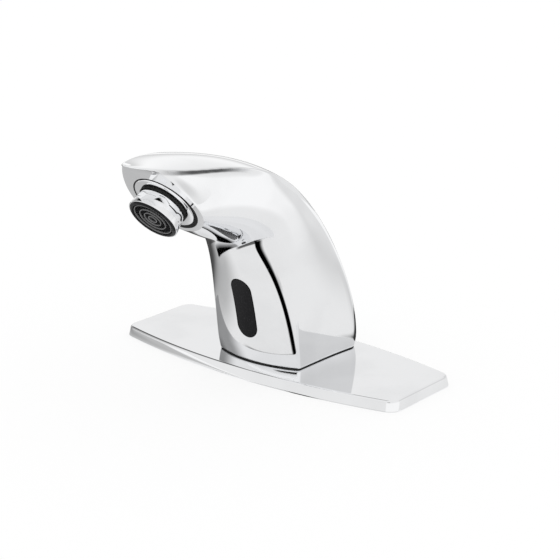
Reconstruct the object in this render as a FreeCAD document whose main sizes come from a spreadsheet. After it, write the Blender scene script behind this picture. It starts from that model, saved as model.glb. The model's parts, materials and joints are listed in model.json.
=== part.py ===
"""Sensor basin tap on a deck plate, as a parametric document.

Millimetres.  +Z is up, +X is the user's right and the spout points along -Y.
The origin is the centre of the tap hole, on the deck surface.
"""
import FreeCAD, Part
import math
import os
import Sketcher
from FreeCAD import Placement, Rotation, Vector

X_AXIS = Vector(1, 0, 0)
Z_AXIS = Vector(0, 0, 1)
ORIGIN = Vector(0, 0, 0)

doc = FreeCAD.newDocument("SensorTap")
sheet = doc.addObject("Spreadsheet::Sheet", "Sizes")

# ---------------------------------------------------------------- driving sizes
SIZES = [
    # deck plate and its foam gasket
    ("plate_length", 163.0), ("plate_end_width", 43.4), ("plate_mid_width", 64.6),
    ("plate_height", 5.1), ("plate_flare", 1.2), ("plate_wall", 2.0), ("plate_top", 1.5),
    ("plate_corner", 5.5), ("plate_edge_round", 0.9), ("plate_hole_dia", 36.0),
    ("gasket_gap", 0.3), ("gasket_width", 7.0),
    # rubber seal between plate and body
    ("seal_thick", 0.6), ("seal_inset", 0.5), ("seal_width", 2.6),
    # body, outside
    ("base_tuck", 0.2), ("side_half_width", 24.8), ("cheek_half_width", 19.6),
    ("shoulder_half_width", 26.3), ("leaf_half_width", 23.1), ("tip_half_width", 1.8),
    ("base_dome", 7.5), ("tip_dome", 0.35), ("shoulder_round", 3.5), ("leaf_round", 0.5),
    ("cove_depth", 0.9),
    # body, inside
    ("wall", 4.5), ("waterway_dia", 10.4), ("waterway_slope", 27.2), ("bend_z", 57.6),
    ("waterway_start", 14.0), ("waterway_length", 77.0), ("seal_groove_dia", 13.4),
    ("seal_groove_width", 2.2), ("upper_seal_run", 62.0),
    # outlet end of the spout
    ("outlet_tilt", 51.6), ("outlet_y", -80.1), ("outlet_z", 94.7),
    ("collar_radius", 14.8), ("collar_proud", 0.6), ("collar_depth", 9.0),
    ("outlet_bore_dia", 20.0), ("outlet_bore_depth", 9.6),
    ("hood_corner", 5.0), ("hood_top", 22.9), ("hood_reach", 14.0), ("hood_rise", 17.3),
    ("hood_clear", 40.0),
    # aerator
    ("rim_reach", 9.6), ("rim_radius", 12.0), ("rim_wall", 0.65), ("head_back_radius", 10.9),
    ("head_back", 1.8), ("sleeve_clearance", 0.06), ("sleeve_inner", 8.4),
    ("sleeve_end", 7.0), ("flat_across", 21.7), ("flat_start", 1.8), ("flat_end", 6.4),
    ("flat_turn", 20.0), ("insert_seat", 6.6), ("insert_reach", 10.5), ("running_gap", 0.1),
    ("ring_step", 2.1), ("ring_wide", 1.05), ("ring_deep", 0.7), ("cup_wall", 1.0),
    ("cup_back", -2.0), ("regulator_set", 0.6), ("regulator_end", 4.0),
    ("regulator_bore", 1.5), ("screen_depth", 3.2), ("screen_skin", 0.5),
    # sensor
    ("window_y", -27.9), ("window_z", 33.2), ("window_tilt", 8.0),
    ("window_width", 11.0), ("window_height", 30.0), ("window_thick", 3.4),
    ("window_gap", 0.5), ("seal_slack", 0.05),
    ("seal_set_back", 0.4), ("snout_gap", 0.15),
    ("case_width", 17.0), ("case_height", 37.0), ("case_depth", 10.5), ("case_wall", 1.2),
    ("case_set_back", 6.8), ("cover_thick", 1.5), ("board_thick", 1.6), ("board_back", 4.4),
    ("led_dia", 5.0), ("led_spacing", 15.0), ("led_length", 6.2),
    ("shroud_wall", 1.2), ("shroud_length", 4.8), ("boss_spacing", 27.0), ("boss_dia", 7.0),
    ("strap_width", 9.0), ("strap_thick", 1.2), ("sensor_screw_dia", 2.9),
    ("post_length", 13.0), ("pilot_depth", 8.0), ("sensor_head_high", 2.0),
    ("sensor_head_dia", 5.5), ("sensor_screw_grip", 8.0), ("led_flange", 0.5),
    # inlet block
    ("block_thick", 8.0), ("block_gap", 0.3), ("spigot_dia", 34.0), ("spigot_low", 1.0),
    ("inlet_y", 8.0), ("inlet_bore_dia", 9.0), ("inlet_depth", 11.0), ("passage_dia", 7.0),
    ("stud_bore_dia", 5.0), ("stud_spacing", 22.0), ("stud_y", -2.0), ("stud_depth", 10.0),
    ("socket_dia", 16.0), ("socket_height", 11.0), ("socket_gap", 0.15),
    ("cable_y", -11.0), ("cable_hole_dia", 7.0), ("cable_bore_dia", 4.2),
    ("lower_seal_run", 4.0), ("grommet_lip", 1.4), ("block_screw_x", 14.8),
    ("block_screw_y", 13.5), ("block_screw_dia", 4.0), ("thread_gap", 0.05),
    ("screw_head_dia", 7.0), ("screw_head_high", 4.0), ("screw_gap", 0.2),
    ("block_screw_grip", 8.0), ("block_boss_dia", 12.0), ("block_boss_high", 14.0),
    ("pillar_hole", 10.0), ("ring_slack", 0.01),
    # water tube
    ("tube_dia", 10.0), ("tube_bore", 8.0), ("tube_bend", 20.0), ("tube_run", 75.0),
]
for row, (cell_name, cell_value) in enumerate(SIZES, start=1):
    sheet.set("A%d" % row, cell_name)
    sheet.set("B%d" % row, "%.10g" % cell_value)
    sheet.setAlias("B%d" % row, cell_name)
doc.recompute()


class Size:
    """A length that carries its number and the sheet expression it comes from."""

    def __init__(self, value, text):
        self.value = value
        self.text = text

    def joined(self, other, sign, turned=False):
        other = other if isinstance(other, Size) else Size(float(other), "%.10g" % other)
        left, right = (other, self) if turned else (self, other)
        sums = {"+": left.value + right.value, "-": left.value - right.value,
                "*": left.value * right.value}
        value = left.value / right.value if sign == "/" else sums[sign]
        return Size(value, "(%s %s %s)" % (left.text, sign, right.text))

    def __add__(self, other):
        return self.joined(other, "+")

    def __radd__(self, other):
        return self.joined(other, "+", True)

    def __sub__(self, other):
        return self.joined(other, "-")

    def __rsub__(self, other):
        return self.joined(other, "-", True)

    def __mul__(self, other):
        return self.joined(other, "*")

    def __rmul__(self, other):
        return self.joined(other, "*", True)

    def __truediv__(self, other):
        return self.joined(other, "/")

    def __neg__(self):
        return Size(-self.value, "(0 - %s)" % self.text)

    def __float__(self):
        return self.value


S = {name: Size(float(sheet.get(name)), "Sizes." + name) for name, _ in SIZES}
V = {name: length.value for name, length in S.items()}

BODY_BOTTOM = V["plate_height"] + V["seal_thick"]

# The two lines that carry the body's cross-sections, in the plane x = 0, each as
# the control points (y, z) of one Bezier curve.  The shoulder line runs from the
# back of the base over the shoulder to the tip of the leaf-shaped top.  The throat
# line runs up the front face and out along the underside of the spout.
SHOULDER_LINE = [(24.9, BODY_BOTTOM), (30.2, 36.6), (1.1, 85.6),
                 (-25.8, 120.1), (-66.5, 105.9), (-103.5, 115.3)]
THROAT_LINE = [(-23.5, BODY_BOTTOM), (-28.1, 39.5), (-33.7, 84.1),
               (-58.5, 64.2), (-50.3, 74.3), (-76.1, 82.6)]
OUTER_STATIONS = [0.0, 0.045, 0.13, 0.22, 0.31, 0.40, 0.49, 0.58,
                  0.67, 0.76, 0.84, 0.90, 0.945, 0.978, 1.0]
STANDING = 8            # how many of them belong to the standing part
CAVITY_STATIONS = [0.0, 0.13, 0.25, 0.36, 0.46]
CHEEK_STATION = 0.945   # where the spout's open end meets the top
PLATE_ROUND_STEPS = 3

# Frames of the tilted pieces.  Their own +Z points out of the body.
OUTLET = Placement(Vector(0, V["outlet_y"], V["outlet_z"]),
                   Rotation(X_AXIS, 180 - V["outlet_tilt"]))
SENSOR = Placement(Vector(0, V["window_y"], V["window_z"]),
                   Rotation(X_AXIS, 90 + V["window_tilt"]))


# ---------------------------------------------------------------- small helpers
def lifted(place, height):
    """The same frame, moved along its own Z."""
    return place * Placement(Vector(0, 0, float(height)), Rotation())


def new_body(label):
    body = doc.addObject("PartDesign::Body", label)
    body.Label = label
    return body


def new_sketch(body, name, role="XY_Plane", place=None):
    """Sketch on one of the body's own origin planes, moved by place."""
    plane = [item for item in body.Origin.OriginFeatures if item.Role == role][0]
    sketch = body.newObject("Sketcher::SketchObject", name)
    sketch.AttachmentSupport = [(plane, "")]
    sketch.MapMode = "FlatFace"
    if place is not None:
        sketch.AttachmentOffset = place
    return sketch


def bound(sketch, kind, *arguments):
    """Dimension whose value follows the sheet."""
    length = arguments[-1]
    number = sketch.addConstraint(Sketcher.Constraint(kind, *arguments[:-1], float(length)))
    if isinstance(length, Size):
        sketch.setExpression("Constraints[%d]" % number, length.text)


def pin_point(sketch, index, end, x, y):
    """Holds one end of an edge at x, y from the sketch's origin."""
    bound(sketch, "DistanceX", -1, 1, index, end, x)
    bound(sketch, "DistanceY", -1, 1, index, end, y)


def circle(sketch, x, y, radius):
    index = sketch.addGeometry(Part.Circle(Vector(float(x), float(y), 0), Z_AXIS, float(radius)))
    bound(sketch, "Radius", index, radius)
    pin_point(sketch, index, 3, x, y)


def polygon(sketch, corners):
    """Closed outline of straight edges, each corner held by two dimensions."""
    ends = corners[1:] + corners[:1]
    indices = []
    for (x1, y1), (x2, y2) in zip(corners, ends):
        start = Vector(float(x1), float(y1), 0)
        finish = Vector(float(x2), float(y2), 0)
        indices.append(sketch.addGeometry(Part.LineSegment(start, finish)))
    for place, index in enumerate(indices):
        following = indices[(place + 1) % len(indices)]
        sketch.addConstraint(Sketcher.Constraint("Coincident", index, 2, following, 1))
    for index, (x, y) in zip(indices, corners):
        pin_point(sketch, index, 1, x, y)


def rectangle(sketch, width, height, x=0.0, y=0.0):
    left, right = x - width / 2, x + width / 2
    low, high = y - height / 2, y + height / 2
    polygon(sketch, [(left, low), (right, low), (right, high), (left, high)])


def stadium(sketch, width, height):
    """Upright slot with round ends, centred on the sketch's origin."""
    radius = width / 2
    rise = height / 2 - radius
    r, up = float(radius), float(rise)
    right = sketch.addGeometry(Part.LineSegment(Vector(r, -up, 0), Vector(r, up, 0)))
    top = sketch.addGeometry(Part.ArcOfCircle(Part.Circle(Vector(0, up, 0), Z_AXIS, r), 0, math.pi))
    left = sketch.addGeometry(Part.LineSegment(Vector(-r, up, 0), Vector(-r, -up, 0)))
    low = sketch.addGeometry(
        Part.ArcOfCircle(Part.Circle(Vector(0, -up, 0), Z_AXIS, r), math.pi, 2 * math.pi))
    for first, second in ((right, top), (top, left), (left, low), (low, right)):
        sketch.addConstraint(Sketcher.Constraint("Coincident", first, 2, second, 1))
    pin_point(sketch, right, 1, radius, -rise)
    pin_point(sketch, right, 2, radius, rise)
    pin_point(sketch, left, 1, -radius, rise)
    pin_point(sketch, left, 2, -radius, -rise)
    bound(sketch, "DistanceY", -1, 1, top, 3, rise)
    bound(sketch, "DistanceY", -1, 1, low, 3, -rise)


def set_size(item, prop, length):
    setattr(item, prop, float(length))
    if isinstance(length, Size):
        item.setExpression(prop, length.text)


def pad(body, sketch, length, both_ways=False):
    feature = body.newObject("PartDesign::Pad", sketch.Name + "Pad")
    feature.Profile = sketch
    set_size(feature, "Length", length)
    feature.Midplane = both_ways
    return feature


def pocket(body, sketch, depth, forward=True, both_ways=False):
    """Cut of the given depth along the sketch's own +Z, or against it."""
    feature = body.newObject("PartDesign::Pocket", sketch.Name + "Pocket")
    feature.Profile = sketch
    set_size(feature, "Length", depth)
    feature.Reversed = forward
    feature.Midplane = both_ways
    return feature


def turned(body, sketch, kind="PartDesign::Revolution"):
    """Full turn of a sketch drawn as radius, height, about the body's Z."""
    feature = body.newObject(kind, sketch.Name + "Turn")
    feature.Profile = sketch
    feature.ReferenceAxis = (sketch, ["V_Axis"])
    feature.Angle = 360.0
    return feature


def turned_body(label, corners):
    """Round piece from its half profile, in the XZ plane."""
    body = new_body(label)
    sketch = new_sketch(body, label + "_profile", "XZ_Plane")
    polygon(sketch, corners)
    turned(body, sketch)
    return body


def cylinder(name, radius, height, place):
    item = doc.addObject("Part::Cylinder", name)
    set_size(item, "Radius", radius)
    set_size(item, "Height", height)
    item.Placement = place
    return item


def torus(name, ring_radius, cord_radius, place):
    item = doc.addObject("Part::Torus", name)
    set_size(item, "Radius1", ring_radius)
    set_size(item, "Radius2", cord_radius)
    item.Placement = place
    item.Label = name
    return item


def fused(name, items):
    item = doc.addObject("Part::MultiFuse", name)
    item.Shapes = items
    item.Label = name
    return item


def without(name, base, tool):
    item = doc.addObject("Part::Cut", name)
    item.Base = base
    item.Tool = tool
    item.Label = name
    return item


# ---------------------------------------------------------------- cross-sections
def smooth(value):
    """0 below 0, 1 above 1 and an even S-curve between."""
    value = min(max(value, 0.0), 1.0)
    return value * value * (3 - 2 * value)


def bezier(controls, station):
    """Point of a Bezier curve, by repeated division of its control polygon."""
    points = [Vector(0, y, z) for y, z in controls]
    while len(points) > 1:
        points = [a * (1 - station) + b * station for a, b in zip(points, points[1:])]
    return points[0]


def section_frame(station):
    """Frame whose X is across the body and whose Y runs from throat to shoulder."""
    throat = bezier(THROAT_LINE, station)
    across = bezier(SHOULDER_LINE, station) - throat
    angle = math.degrees(math.atan2(across.z, across.y))
    return Placement(throat, Rotation(X_AXIS, angle)), across.Length


def section_sizes(station):
    """Half-widths, dome and corner radii of one cross-section."""
    closing = max(station - 0.60, 0) / 0.40
    shoulder = V["shoulder_half_width"] - smooth(station / 0.42) * (
        V["shoulder_half_width"] - V["leaf_half_width"])
    shoulder -= (V["leaf_half_width"] - V["tip_half_width"]) * closing ** 3.6
    side = V["side_half_width"] - smooth((station - 0.50) / 0.45) * (
        V["side_half_width"] - V["cheek_half_width"])
    nose = max(station - CHEEK_STATION, 0) / (1 - CHEEK_STATION)
    side *= math.sqrt(1 - 0.99 * nose ** 2)
    belly = smooth((station - 0.04) / 0.46)
    return {
        "side": side,
        "shoulder": shoulder,
        "dome": V["base_dome"] * (1 - station) ** 1.1 + V["tip_dome"],
        "front": side * (2.3 - 1.21 * belly),
        "corner": side * (0.10 + 0.59 * belly),
        "round": V["leaf_round"] + (V["shoulder_round"] - V["leaf_round"])
                 * smooth((0.66 - station) / 0.22),
        "cove": V["cove_depth"] * smooth((station - 0.62) / 0.16)
                * smooth((0.96 - station) / 0.12),
    }


def section_outline(station, inset=0.0):
    """Right half of a cross-section, as the points of its four edges.

    Front arc to the corner, corner arc, side curve to the shoulder, shoulder
    round, and the apex of the back arc.  All points are in the section's frame.
    """
    place, reach = section_frame(station)
    part = section_sizes(station)
    front = part["front"] - inset
    side = part["side"] - inset
    corner = max(part["corner"] - inset, 2.0) if inset else part["corner"]
    centre_x = side - corner
    centre_y = front - math.sqrt((front - corner) ** 2 - centre_x ** 2)
    turn = math.atan2(centre_y - front, centre_x)
    front_end = Vector(front * math.cos(turn), front + front * math.sin(turn), 0)
    middle = turn / 2
    corner_middle = Vector(centre_x + corner * math.cos(middle),
                           centre_y + corner * math.sin(middle), 0)
    side_start = Vector(side, centre_y, 0)

    depth = reach - 2 * inset
    half = part["shoulder"] - inset
    edge = Vector(half, depth, 0)
    rise = depth - centre_y
    lean = (side - half) * 0.8 - 2.4 * part["cove"]
    towards = Vector(half + lean, depth - 0.3 * rise, 0)
    heading = (edge - towards).normalize()
    radius = max(part["round"], 2.0) if inset else part["round"]
    side_end = edge - heading * radius
    dome = part["dome"]
    back = (half ** 2 + dome ** 2) / (2 * dome)
    swing = math.asin(half / back) - radius / back
    back_end = Vector(back * math.sin(swing), depth + dome - back * (1 - math.cos(swing)), 0)
    backward = Vector(math.cos(swing), -math.sin(swing), 0)
    shift = Vector(0, inset, 0)
    points = {
        "front_apex": Vector(0, 0, 0),
        "front_end": front_end,
        "corner_middle": corner_middle,
        "side_start": side_start,
        "side_pull": side_start + Vector(0, 0.4 * rise, 0),
        "side_lean": side_end - heading * (0.3 * rise),
        "side_end": side_end,
        "round_pull": side_end + heading * (0.6 * radius),
        "round_lean": back_end + backward * (0.6 * radius),
        "back_end": back_end,
        "back_apex": Vector(0, depth + dome, 0),
    }
    return place, {name: point + shift for name, point in points.items()}


def mirrored(point):
    return Vector(-point.x, point.y, 0)


def bezier_edge(points):
    curve = Part.BezierCurve()
    curve.setPoles(points)
    return curve.toBSpline()


def draw_section(sketch, points):
    """Closed outline of one cross-section, counter-clockwise from the front."""
    p = points
    right = [
        Part.Arc(mirrored(p["front_end"]), p["front_apex"], p["front_end"]),
        Part.Arc(p["front_end"], p["corner_middle"], p["side_start"]),
        bezier_edge([p["side_start"], p["side_pull"], p["side_lean"], p["side_end"]]),
        bezier_edge([p["side_end"], p["round_pull"], p["round_lean"], p["back_end"]]),
    ]
    left = [
        Part.Arc(p["back_end"], p["back_apex"], mirrored(p["back_end"])),
        bezier_edge([mirrored(p[name]) for name in
                     ("back_end", "round_lean", "round_pull", "side_end")]),
        bezier_edge([mirrored(p[name]) for name in
                     ("side_end", "side_lean", "side_pull", "side_start")]),
        Part.Arc(mirrored(p["side_start"]), mirrored(p["corner_middle"]),
                 mirrored(p["front_end"])),
    ]
    sketch.addGeometry(right + left)


def section_sketch(body, name, station, inset=0.0, height=None):
    """Cross-section of the body, or of the base at another height."""
    place, points = section_outline(station, inset)
    if height is not None:
        place = Placement(Vector(0, place.Base.y, height), place.Rotation)
    sketch = new_sketch(body, name, place=place)
    draw_section(sketch, points)
    return sketch


def loft(body, name, kind, sketches):
    feature = body.newObject(kind, name)
    feature.Profile = sketches[0]
    feature.Sections = sketches[1:]
    feature.Ruled = False
    return feature


# ---------------------------------------------------------------- tap body
def make_envelope(label, stations, inset=0.0):
    """Solid outside form of the body, or the same form a little smaller."""
    body = new_body(label)
    sketches = []
    for number, station in enumerate(stations):
        tuck = V["base_tuck"] if number == 0 else 0.0
        name = "%s_section%d" % (label, number)
        sketches.append(section_sketch(body, name, station, inset + tuck))
    loft(body, label + "_loft", "PartDesign::AdditiveLoft", sketches)
    return body


def waterway_frame(run):
    """Frame on the waterway's axis, run millimetres along it from the bend's corner."""
    along = Rotation(X_AXIS, 90 - V["waterway_slope"])
    corner = Placement(Vector(0, V["inlet_y"], V["bend_z"]), along)
    return lifted(corner, run)


def make_tap_body():
    body = make_envelope("tap_body", OUTER_STATIONS)

    # the spout's open end: a cut below the roof line, square to the outlet's axis
    hood = new_sketch(body, "Hood", "YZ_Plane", Placement(
        Vector(V["outlet_y"], V["outlet_z"], 0), Rotation(Z_AXIS, 270 - V["outlet_tilt"])))
    corner = Vector(0, -V["hood_top"], 0)
    roof_end = Vector(V["hood_reach"], -V["hood_top"] - V["hood_rise"], 0)
    along_roof = (roof_end - corner).normalize()
    bisector = (along_roof + Vector(0, 1, 0)).normalize()
    half_angle = along_roof.getAngle(Vector(0, 1, 0)) / 2
    trim = V["hood_corner"] / math.tan(half_angle)
    depth = V["hood_corner"] / math.sin(half_angle) - V["hood_corner"]
    wide, low = V["hood_clear"], V["hood_clear"]
    path = [corner + along_roof * trim, roof_end, Vector(wide, roof_end.y, 0),
            Vector(wide, low, 0), Vector(0, low, 0), corner + Vector(0, trim, 0)]
    edges = [Part.LineSegment(first, second) for first, second in zip(path, path[1:])]
    edges.append(Part.Arc(path[-1], corner + bisector * depth, path[0]))
    hood.addGeometry(edges)
    pocket(body, hood, 3 * S["side_half_width"], both_ways=True)

    # round land that the aerator screws into
    collar = new_sketch(body, "Collar", place=lifted(OUTLET, -V["collar_depth"]))
    circle(collar, 0, 0, S["collar_radius"])
    pad(body, collar, S["collar_depth"] + S["collar_proud"])

    # hollow standing part, open at the bottom
    hollow = [section_sketch(body, "Hollow%d" % number, station, V["wall"])
              for number, station in enumerate(CAVITY_STATIONS)]
    loft(body, "Cavity", "PartDesign::SubtractiveLoft", hollow)

    # outlet chamber, waterway and the groove of the upper seal
    chamber = new_sketch(body, "Chamber", place=lifted(OUTLET, V["collar_proud"]))
    circle(chamber, 0, 0, S["outlet_bore_dia"] / 2)
    pocket(body, chamber, S["outlet_bore_depth"], forward=False)
    waterway = new_sketch(body, "Waterway", place=waterway_frame(V["waterway_start"]))
    circle(waterway, 0, 0, S["waterway_dia"] / 2)
    pocket(body, waterway, S["waterway_length"])
    groove = new_sketch(body, "SealGroove", place=waterway_frame(V["upper_seal_run"]))
    circle(groove, 0, 0, S["seal_groove_dia"] / 2)
    pocket(body, groove, S["seal_groove_width"])

    # window slot and the two posts that carry the sensor
    slot = new_sketch(body, "WindowSlot", place=lifted(SENSOR, V["wall"]))
    stadium(slot, S["window_width"] + 2 * S["window_gap"],
            S["window_height"] + 2 * S["window_gap"])
    pocket(body, slot, 3 * S["wall"], forward=False)
    back = -(V["case_set_back"] + V["case_depth"] + V["cover_thick"])
    posts = new_sketch(body, "SensorPosts", place=lifted(SENSOR, back))
    pilots = new_sketch(body, "SensorPilots", place=lifted(SENSOR, back))
    for side in (-1, 1):
        circle(posts, side * S["boss_spacing"] / 2, 0, S["boss_dia"] / 2)
        circle(pilots, side * S["boss_spacing"] / 2, 0, S["sensor_screw_dia"] / 2)
    pad(body, posts, S["post_length"])
    pocket(body, pilots, S["pilot_depth"])

    # the two pillars that take the inlet block's screws
    floor = V["plate_height"] + V["seal_thick"] + V["block_thick"]
    pillars = new_sketch(body, "Pillars", place=Placement(Vector(0, 0, floor), Rotation()))
    taps = new_sketch(body, "PillarHoles", place=Placement(Vector(0, 0, floor), Rotation()))
    for side in (-1, 1):
        x, y = side * S["block_screw_x"], S["block_screw_y"]
        circle(pillars, x, y, S["block_boss_dia"] / 2)
        circle(taps, x, y, S["block_screw_dia"] / 2)
    pad(body, pillars, S["block_boss_high"])
    pocket(body, taps, S["pillar_hole"])
    return body


# ---------------------------------------------------------------- deck plate
def draw_plate_outline(sketch, inset):
    """Long outline with bowed long edges, short straight ends and round corners."""
    half = V["plate_length"] / 2
    sag = (V["plate_mid_width"] - V["plate_end_width"]) / 2
    bow = (half ** 2 + sag ** 2) / (2 * sag)
    centre = bow - V["plate_mid_width"] / 2
    half -= inset
    bow -= inset
    corner = max(V["plate_corner"] - inset, V["plate_edge_round"])
    corner_x = half - corner
    corner_y = math.sqrt((bow - corner) ** 2 - corner_x ** 2) - centre
    away = math.atan2(corner_y + centre, corner_x)
    bow_end = Vector(bow * math.cos(away), bow * math.sin(away) - centre, 0)
    middle = Vector(corner_x + corner * math.cos(away / 2),
                    corner_y + corner * math.sin(away / 2), 0)
    end = Vector(half, corner_y, 0)
    top = Vector(0, bow - centre, 0)

    def at(point, x_sign, y_sign):
        return Vector(x_sign * point.x, y_sign * point.y, 0)

    sketch.addGeometry([
        Part.LineSegment(at(end, 1, -1), end),
        Part.Arc(end, middle, bow_end),
        Part.Arc(bow_end, top, at(bow_end, -1, 1)),
        Part.Arc(at(bow_end, -1, 1), at(middle, -1, 1), at(end, -1, 1)),
        Part.LineSegment(at(end, -1, 1), at(end, -1, -1)),
        Part.Arc(at(end, -1, -1), at(middle, -1, -1), at(bow_end, -1, -1)),
        Part.Arc(at(bow_end, -1, -1), at(top, 1, -1), at(bow_end, 1, -1)),
        Part.Arc(at(bow_end, 1, -1), at(middle, 1, -1), at(end, 1, -1)),
    ])


def plate_sketch(body, name, inset, height):
    sketch = new_sketch(body, name, place=Placement(Vector(0, 0, height), Rotation()))
    draw_plate_outline(sketch, inset)
    return sketch


def make_deck_plate():
    body = new_body("deck_plate")
    high, wall, flare = V["plate_height"], V["plate_wall"], V["plate_flare"]
    soft = V["plate_edge_round"]
    outside = [plate_sketch(body, "PlateLow", -flare, 0.0)]
    for step in range(PLATE_ROUND_STEPS + 1):
        angle = math.radians(90) * step / PLATE_ROUND_STEPS
        level = high - soft + soft * math.sin(angle)
        inset = soft * (1 - math.cos(angle)) - flare * (1 - level / high)
        outside.append(plate_sketch(body, "PlateEdge%d" % step, inset, level))
    loft(body, "PlateShell", "PartDesign::AdditiveLoft", outside).Ruled = True
    roof = high - V["plate_top"]
    inside = [plate_sketch(body, "RecessLow", wall - flare, 0.0),
              plate_sketch(body, "RecessTop", wall - flare * (1 - roof / high), roof)]
    loft(body, "Recess", "PartDesign::SubtractiveLoft", inside).Ruled = True
    hole = new_sketch(body, "TapHole")
    circle(hole, 0, 0, S["plate_hole_dia"] / 2)
    pocket(body, hole, 2 * S["plate_height"])


def make_plate_gasket():
    body = new_body("plate_gasket")
    sketch = new_sketch(body, "GasketOutline")
    outer = V["plate_wall"] + V["gasket_gap"]
    draw_plate_outline(sketch, outer)
    draw_plate_outline(sketch, outer + V["gasket_width"])
    pad(body, sketch, S["plate_height"] - S["plate_top"])


def make_base_seal():
    body = new_body("base_seal")
    place, outer = section_outline(0.0, V["base_tuck"] + V["seal_inset"])
    inner = section_outline(0.0, V["base_tuck"] + V["seal_inset"] + V["seal_width"])[1]
    place = Placement(Vector(0, place.Base.y, V["plate_height"]), Rotation())
    sketch = new_sketch(body, "SealOutline", place=place)
    draw_section(sketch, outer)
    draw_section(sketch, inner)
    pad(body, sketch, S["seal_thick"])


# ---------------------------------------------------------------- inlet block
def make_base_block():
    body = new_body("base_block")
    low, floor = S["plate_height"] + S["seal_thick"], V["spigot_low"]
    top = float(low) + V["block_thick"]

    def level(name, height):
        return new_sketch(body, name, place=Placement(Vector(0, 0, float(height)), Rotation()))

    flange = section_sketch(body, "Flange", 0.0, V["wall"] + V["block_gap"])
    pad(body, flange, S["block_thick"])
    spigot = level("Spigot", floor)
    circle(spigot, 0, 0, S["spigot_dia"] / 2)
    pad(body, spigot, low - S["spigot_low"])
    socket = level("Socket", top)
    circle(socket, 0, S["inlet_y"], S["socket_dia"] / 2)
    pad(body, socket, S["socket_height"])

    inlet = level("Inlet", floor)
    circle(inlet, 0, S["inlet_y"], S["inlet_bore_dia"] / 2)
    pocket(body, inlet, S["inlet_depth"])
    passage = level("Passage", floor)
    circle(passage, 0, S["inlet_y"], S["passage_dia"] / 2)
    pocket(body, passage, low + S["block_thick"] + 1)
    seat = level("TubeSeat", top + 1)
    circle(seat, 0, S["inlet_y"], S["tube_dia"] / 2 + S["socket_gap"])
    pocket(body, seat, S["socket_height"])
    ring = level("RingGroove", top + V["lower_seal_run"])
    circle(ring, 0, S["inlet_y"], S["seal_groove_dia"] / 2)
    pocket(body, ring, S["seal_groove_width"])

    studs = level("Studs", floor)
    for side in (-1, 1):
        circle(studs, side * S["stud_spacing"] / 2, S["stud_y"], S["stud_bore_dia"] / 2)
    pocket(body, studs, S["stud_depth"])
    cable = level("CableWay", floor)
    circle(cable, 0, S["cable_y"], S["cable_hole_dia"] / 2)
    pocket(body, cable, low + S["block_thick"])
    for name, width, deep in (
            ("ScrewWays", S["block_screw_dia"] / 2 + S["socket_gap"], S["block_thick"]),
            ("HeadSeats", S["screw_head_dia"] / 2 + S["socket_gap"], S["screw_head_high"])):
        sketch = level(name, low)
        for side in (-1, 1):
            circle(sketch, side * S["block_screw_x"], S["block_screw_y"], width)
        pocket(body, sketch, deep)


def cap_screw(name, place, shank_radius, shank, head_radius, head):
    """Socket-head screw: +Z runs from the head into the thread."""
    stem = cylinder(name + "Stem", shank_radius, shank + head, place)
    cap = cylinder(name + "Cap", head_radius, head, place)
    solid = fused(name + "Solid", [stem, cap])
    key = doc.addObject("Part::Prism", name + "Key")
    key.Polygon = 6
    set_size(key, "Circumradius", head_radius / 2)
    set_size(key, "Height", head / 2)
    key.Placement = place
    return without(name, solid, key)


def make_screws():
    low = V["plate_height"] + V["seal_thick"]
    floor = low + V["screw_gap"]
    pair = []
    for side, name in ((-1, "BlockScrewLeft"), (1, "BlockScrewRight")):
        place = Placement(Vector(side * V["block_screw_x"], V["block_screw_y"], floor),
                          Rotation())
        pair.append(cap_screw(name, place, S["block_screw_dia"] / 2 - S["thread_gap"],
                              S["block_screw_grip"] + S["block_thick"] - S["screw_head_high"],
                              S["screw_head_dia"] / 2,
                              S["screw_head_high"] - S["screw_gap"]))
    fused("base_screws", pair)

    back = -(V["case_set_back"] + V["case_depth"] + V["cover_thick"] + V["strap_thick"])
    pair = []
    for side, name in ((-1, "SensorScrewLeft"), (1, "SensorScrewRight")):
        seat = lifted(SENSOR, back - V["sensor_head_high"])
        place = seat * Placement(Vector(side * V["boss_spacing"] / 2, 0, 0), Rotation())
        pair.append(cap_screw(name, place, S["sensor_screw_dia"] / 2 - S["thread_gap"],
                              S["sensor_screw_grip"], S["sensor_head_dia"] / 2,
                              S["sensor_head_high"]))
    fused("sensor_screws", pair)


def make_cable_grommet():
    floor = S["spigot_low"]
    top = S["plate_height"] + S["seal_thick"] + S["block_thick"]
    bore, outer = S["cable_bore_dia"] / 2, S["cable_hole_dia"] / 2
    lip = outer + S["grommet_lip"]
    body = turned_body("cable_grommet", [
        (bore, floor), (outer, floor), (outer, top), (lip, top),
        (lip, top + S["grommet_lip"]), (bore, top + S["grommet_lip"])])
    body.Placement = Placement(Vector(0, V["cable_y"], 0), Rotation())


# ---------------------------------------------------------------- water tube
def make_water_tube():
    body = new_body("water_tube")
    foot = V["plate_height"] + V["seal_thick"] + V["block_thick"] + 1 + V["socket_gap"]
    turn = math.radians(90 - V["waterway_slope"])
    trim = V["tube_bend"] * math.tan(turn / 2)
    ahead = Vector(-math.sin(turn), math.cos(turn), 0)
    corner = Vector(V["inlet_y"], V["bend_z"], 0)
    bend_start = corner - Vector(0, trim, 0)
    bend_end = corner + ahead * trim
    inward = (ahead + Vector(0, -1, 0)).normalize()
    middle = corner + inward * (V["tube_bend"] / math.cos(turn / 2) - V["tube_bend"])
    path = new_sketch(body, "TubePath", "YZ_Plane")
    path.addGeometry([Part.LineSegment(Vector(V["inlet_y"], foot, 0), bend_start),
                      Part.Arc(bend_start, middle, bend_end),
                      Part.LineSegment(bend_end, corner + ahead * V["tube_run"])])
    profile = new_sketch(body, "TubeProfile",
                         place=Placement(Vector(0, 0, foot), Rotation()))
    circle(profile, 0, S["inlet_y"], S["tube_dia"] / 2)
    circle(profile, 0, S["inlet_y"], S["tube_bore"] / 2)
    pipe = body.newObject("PartDesign::AdditivePipe", "TubePipe")
    pipe.Profile = profile
    pipe.Spine = path


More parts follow.
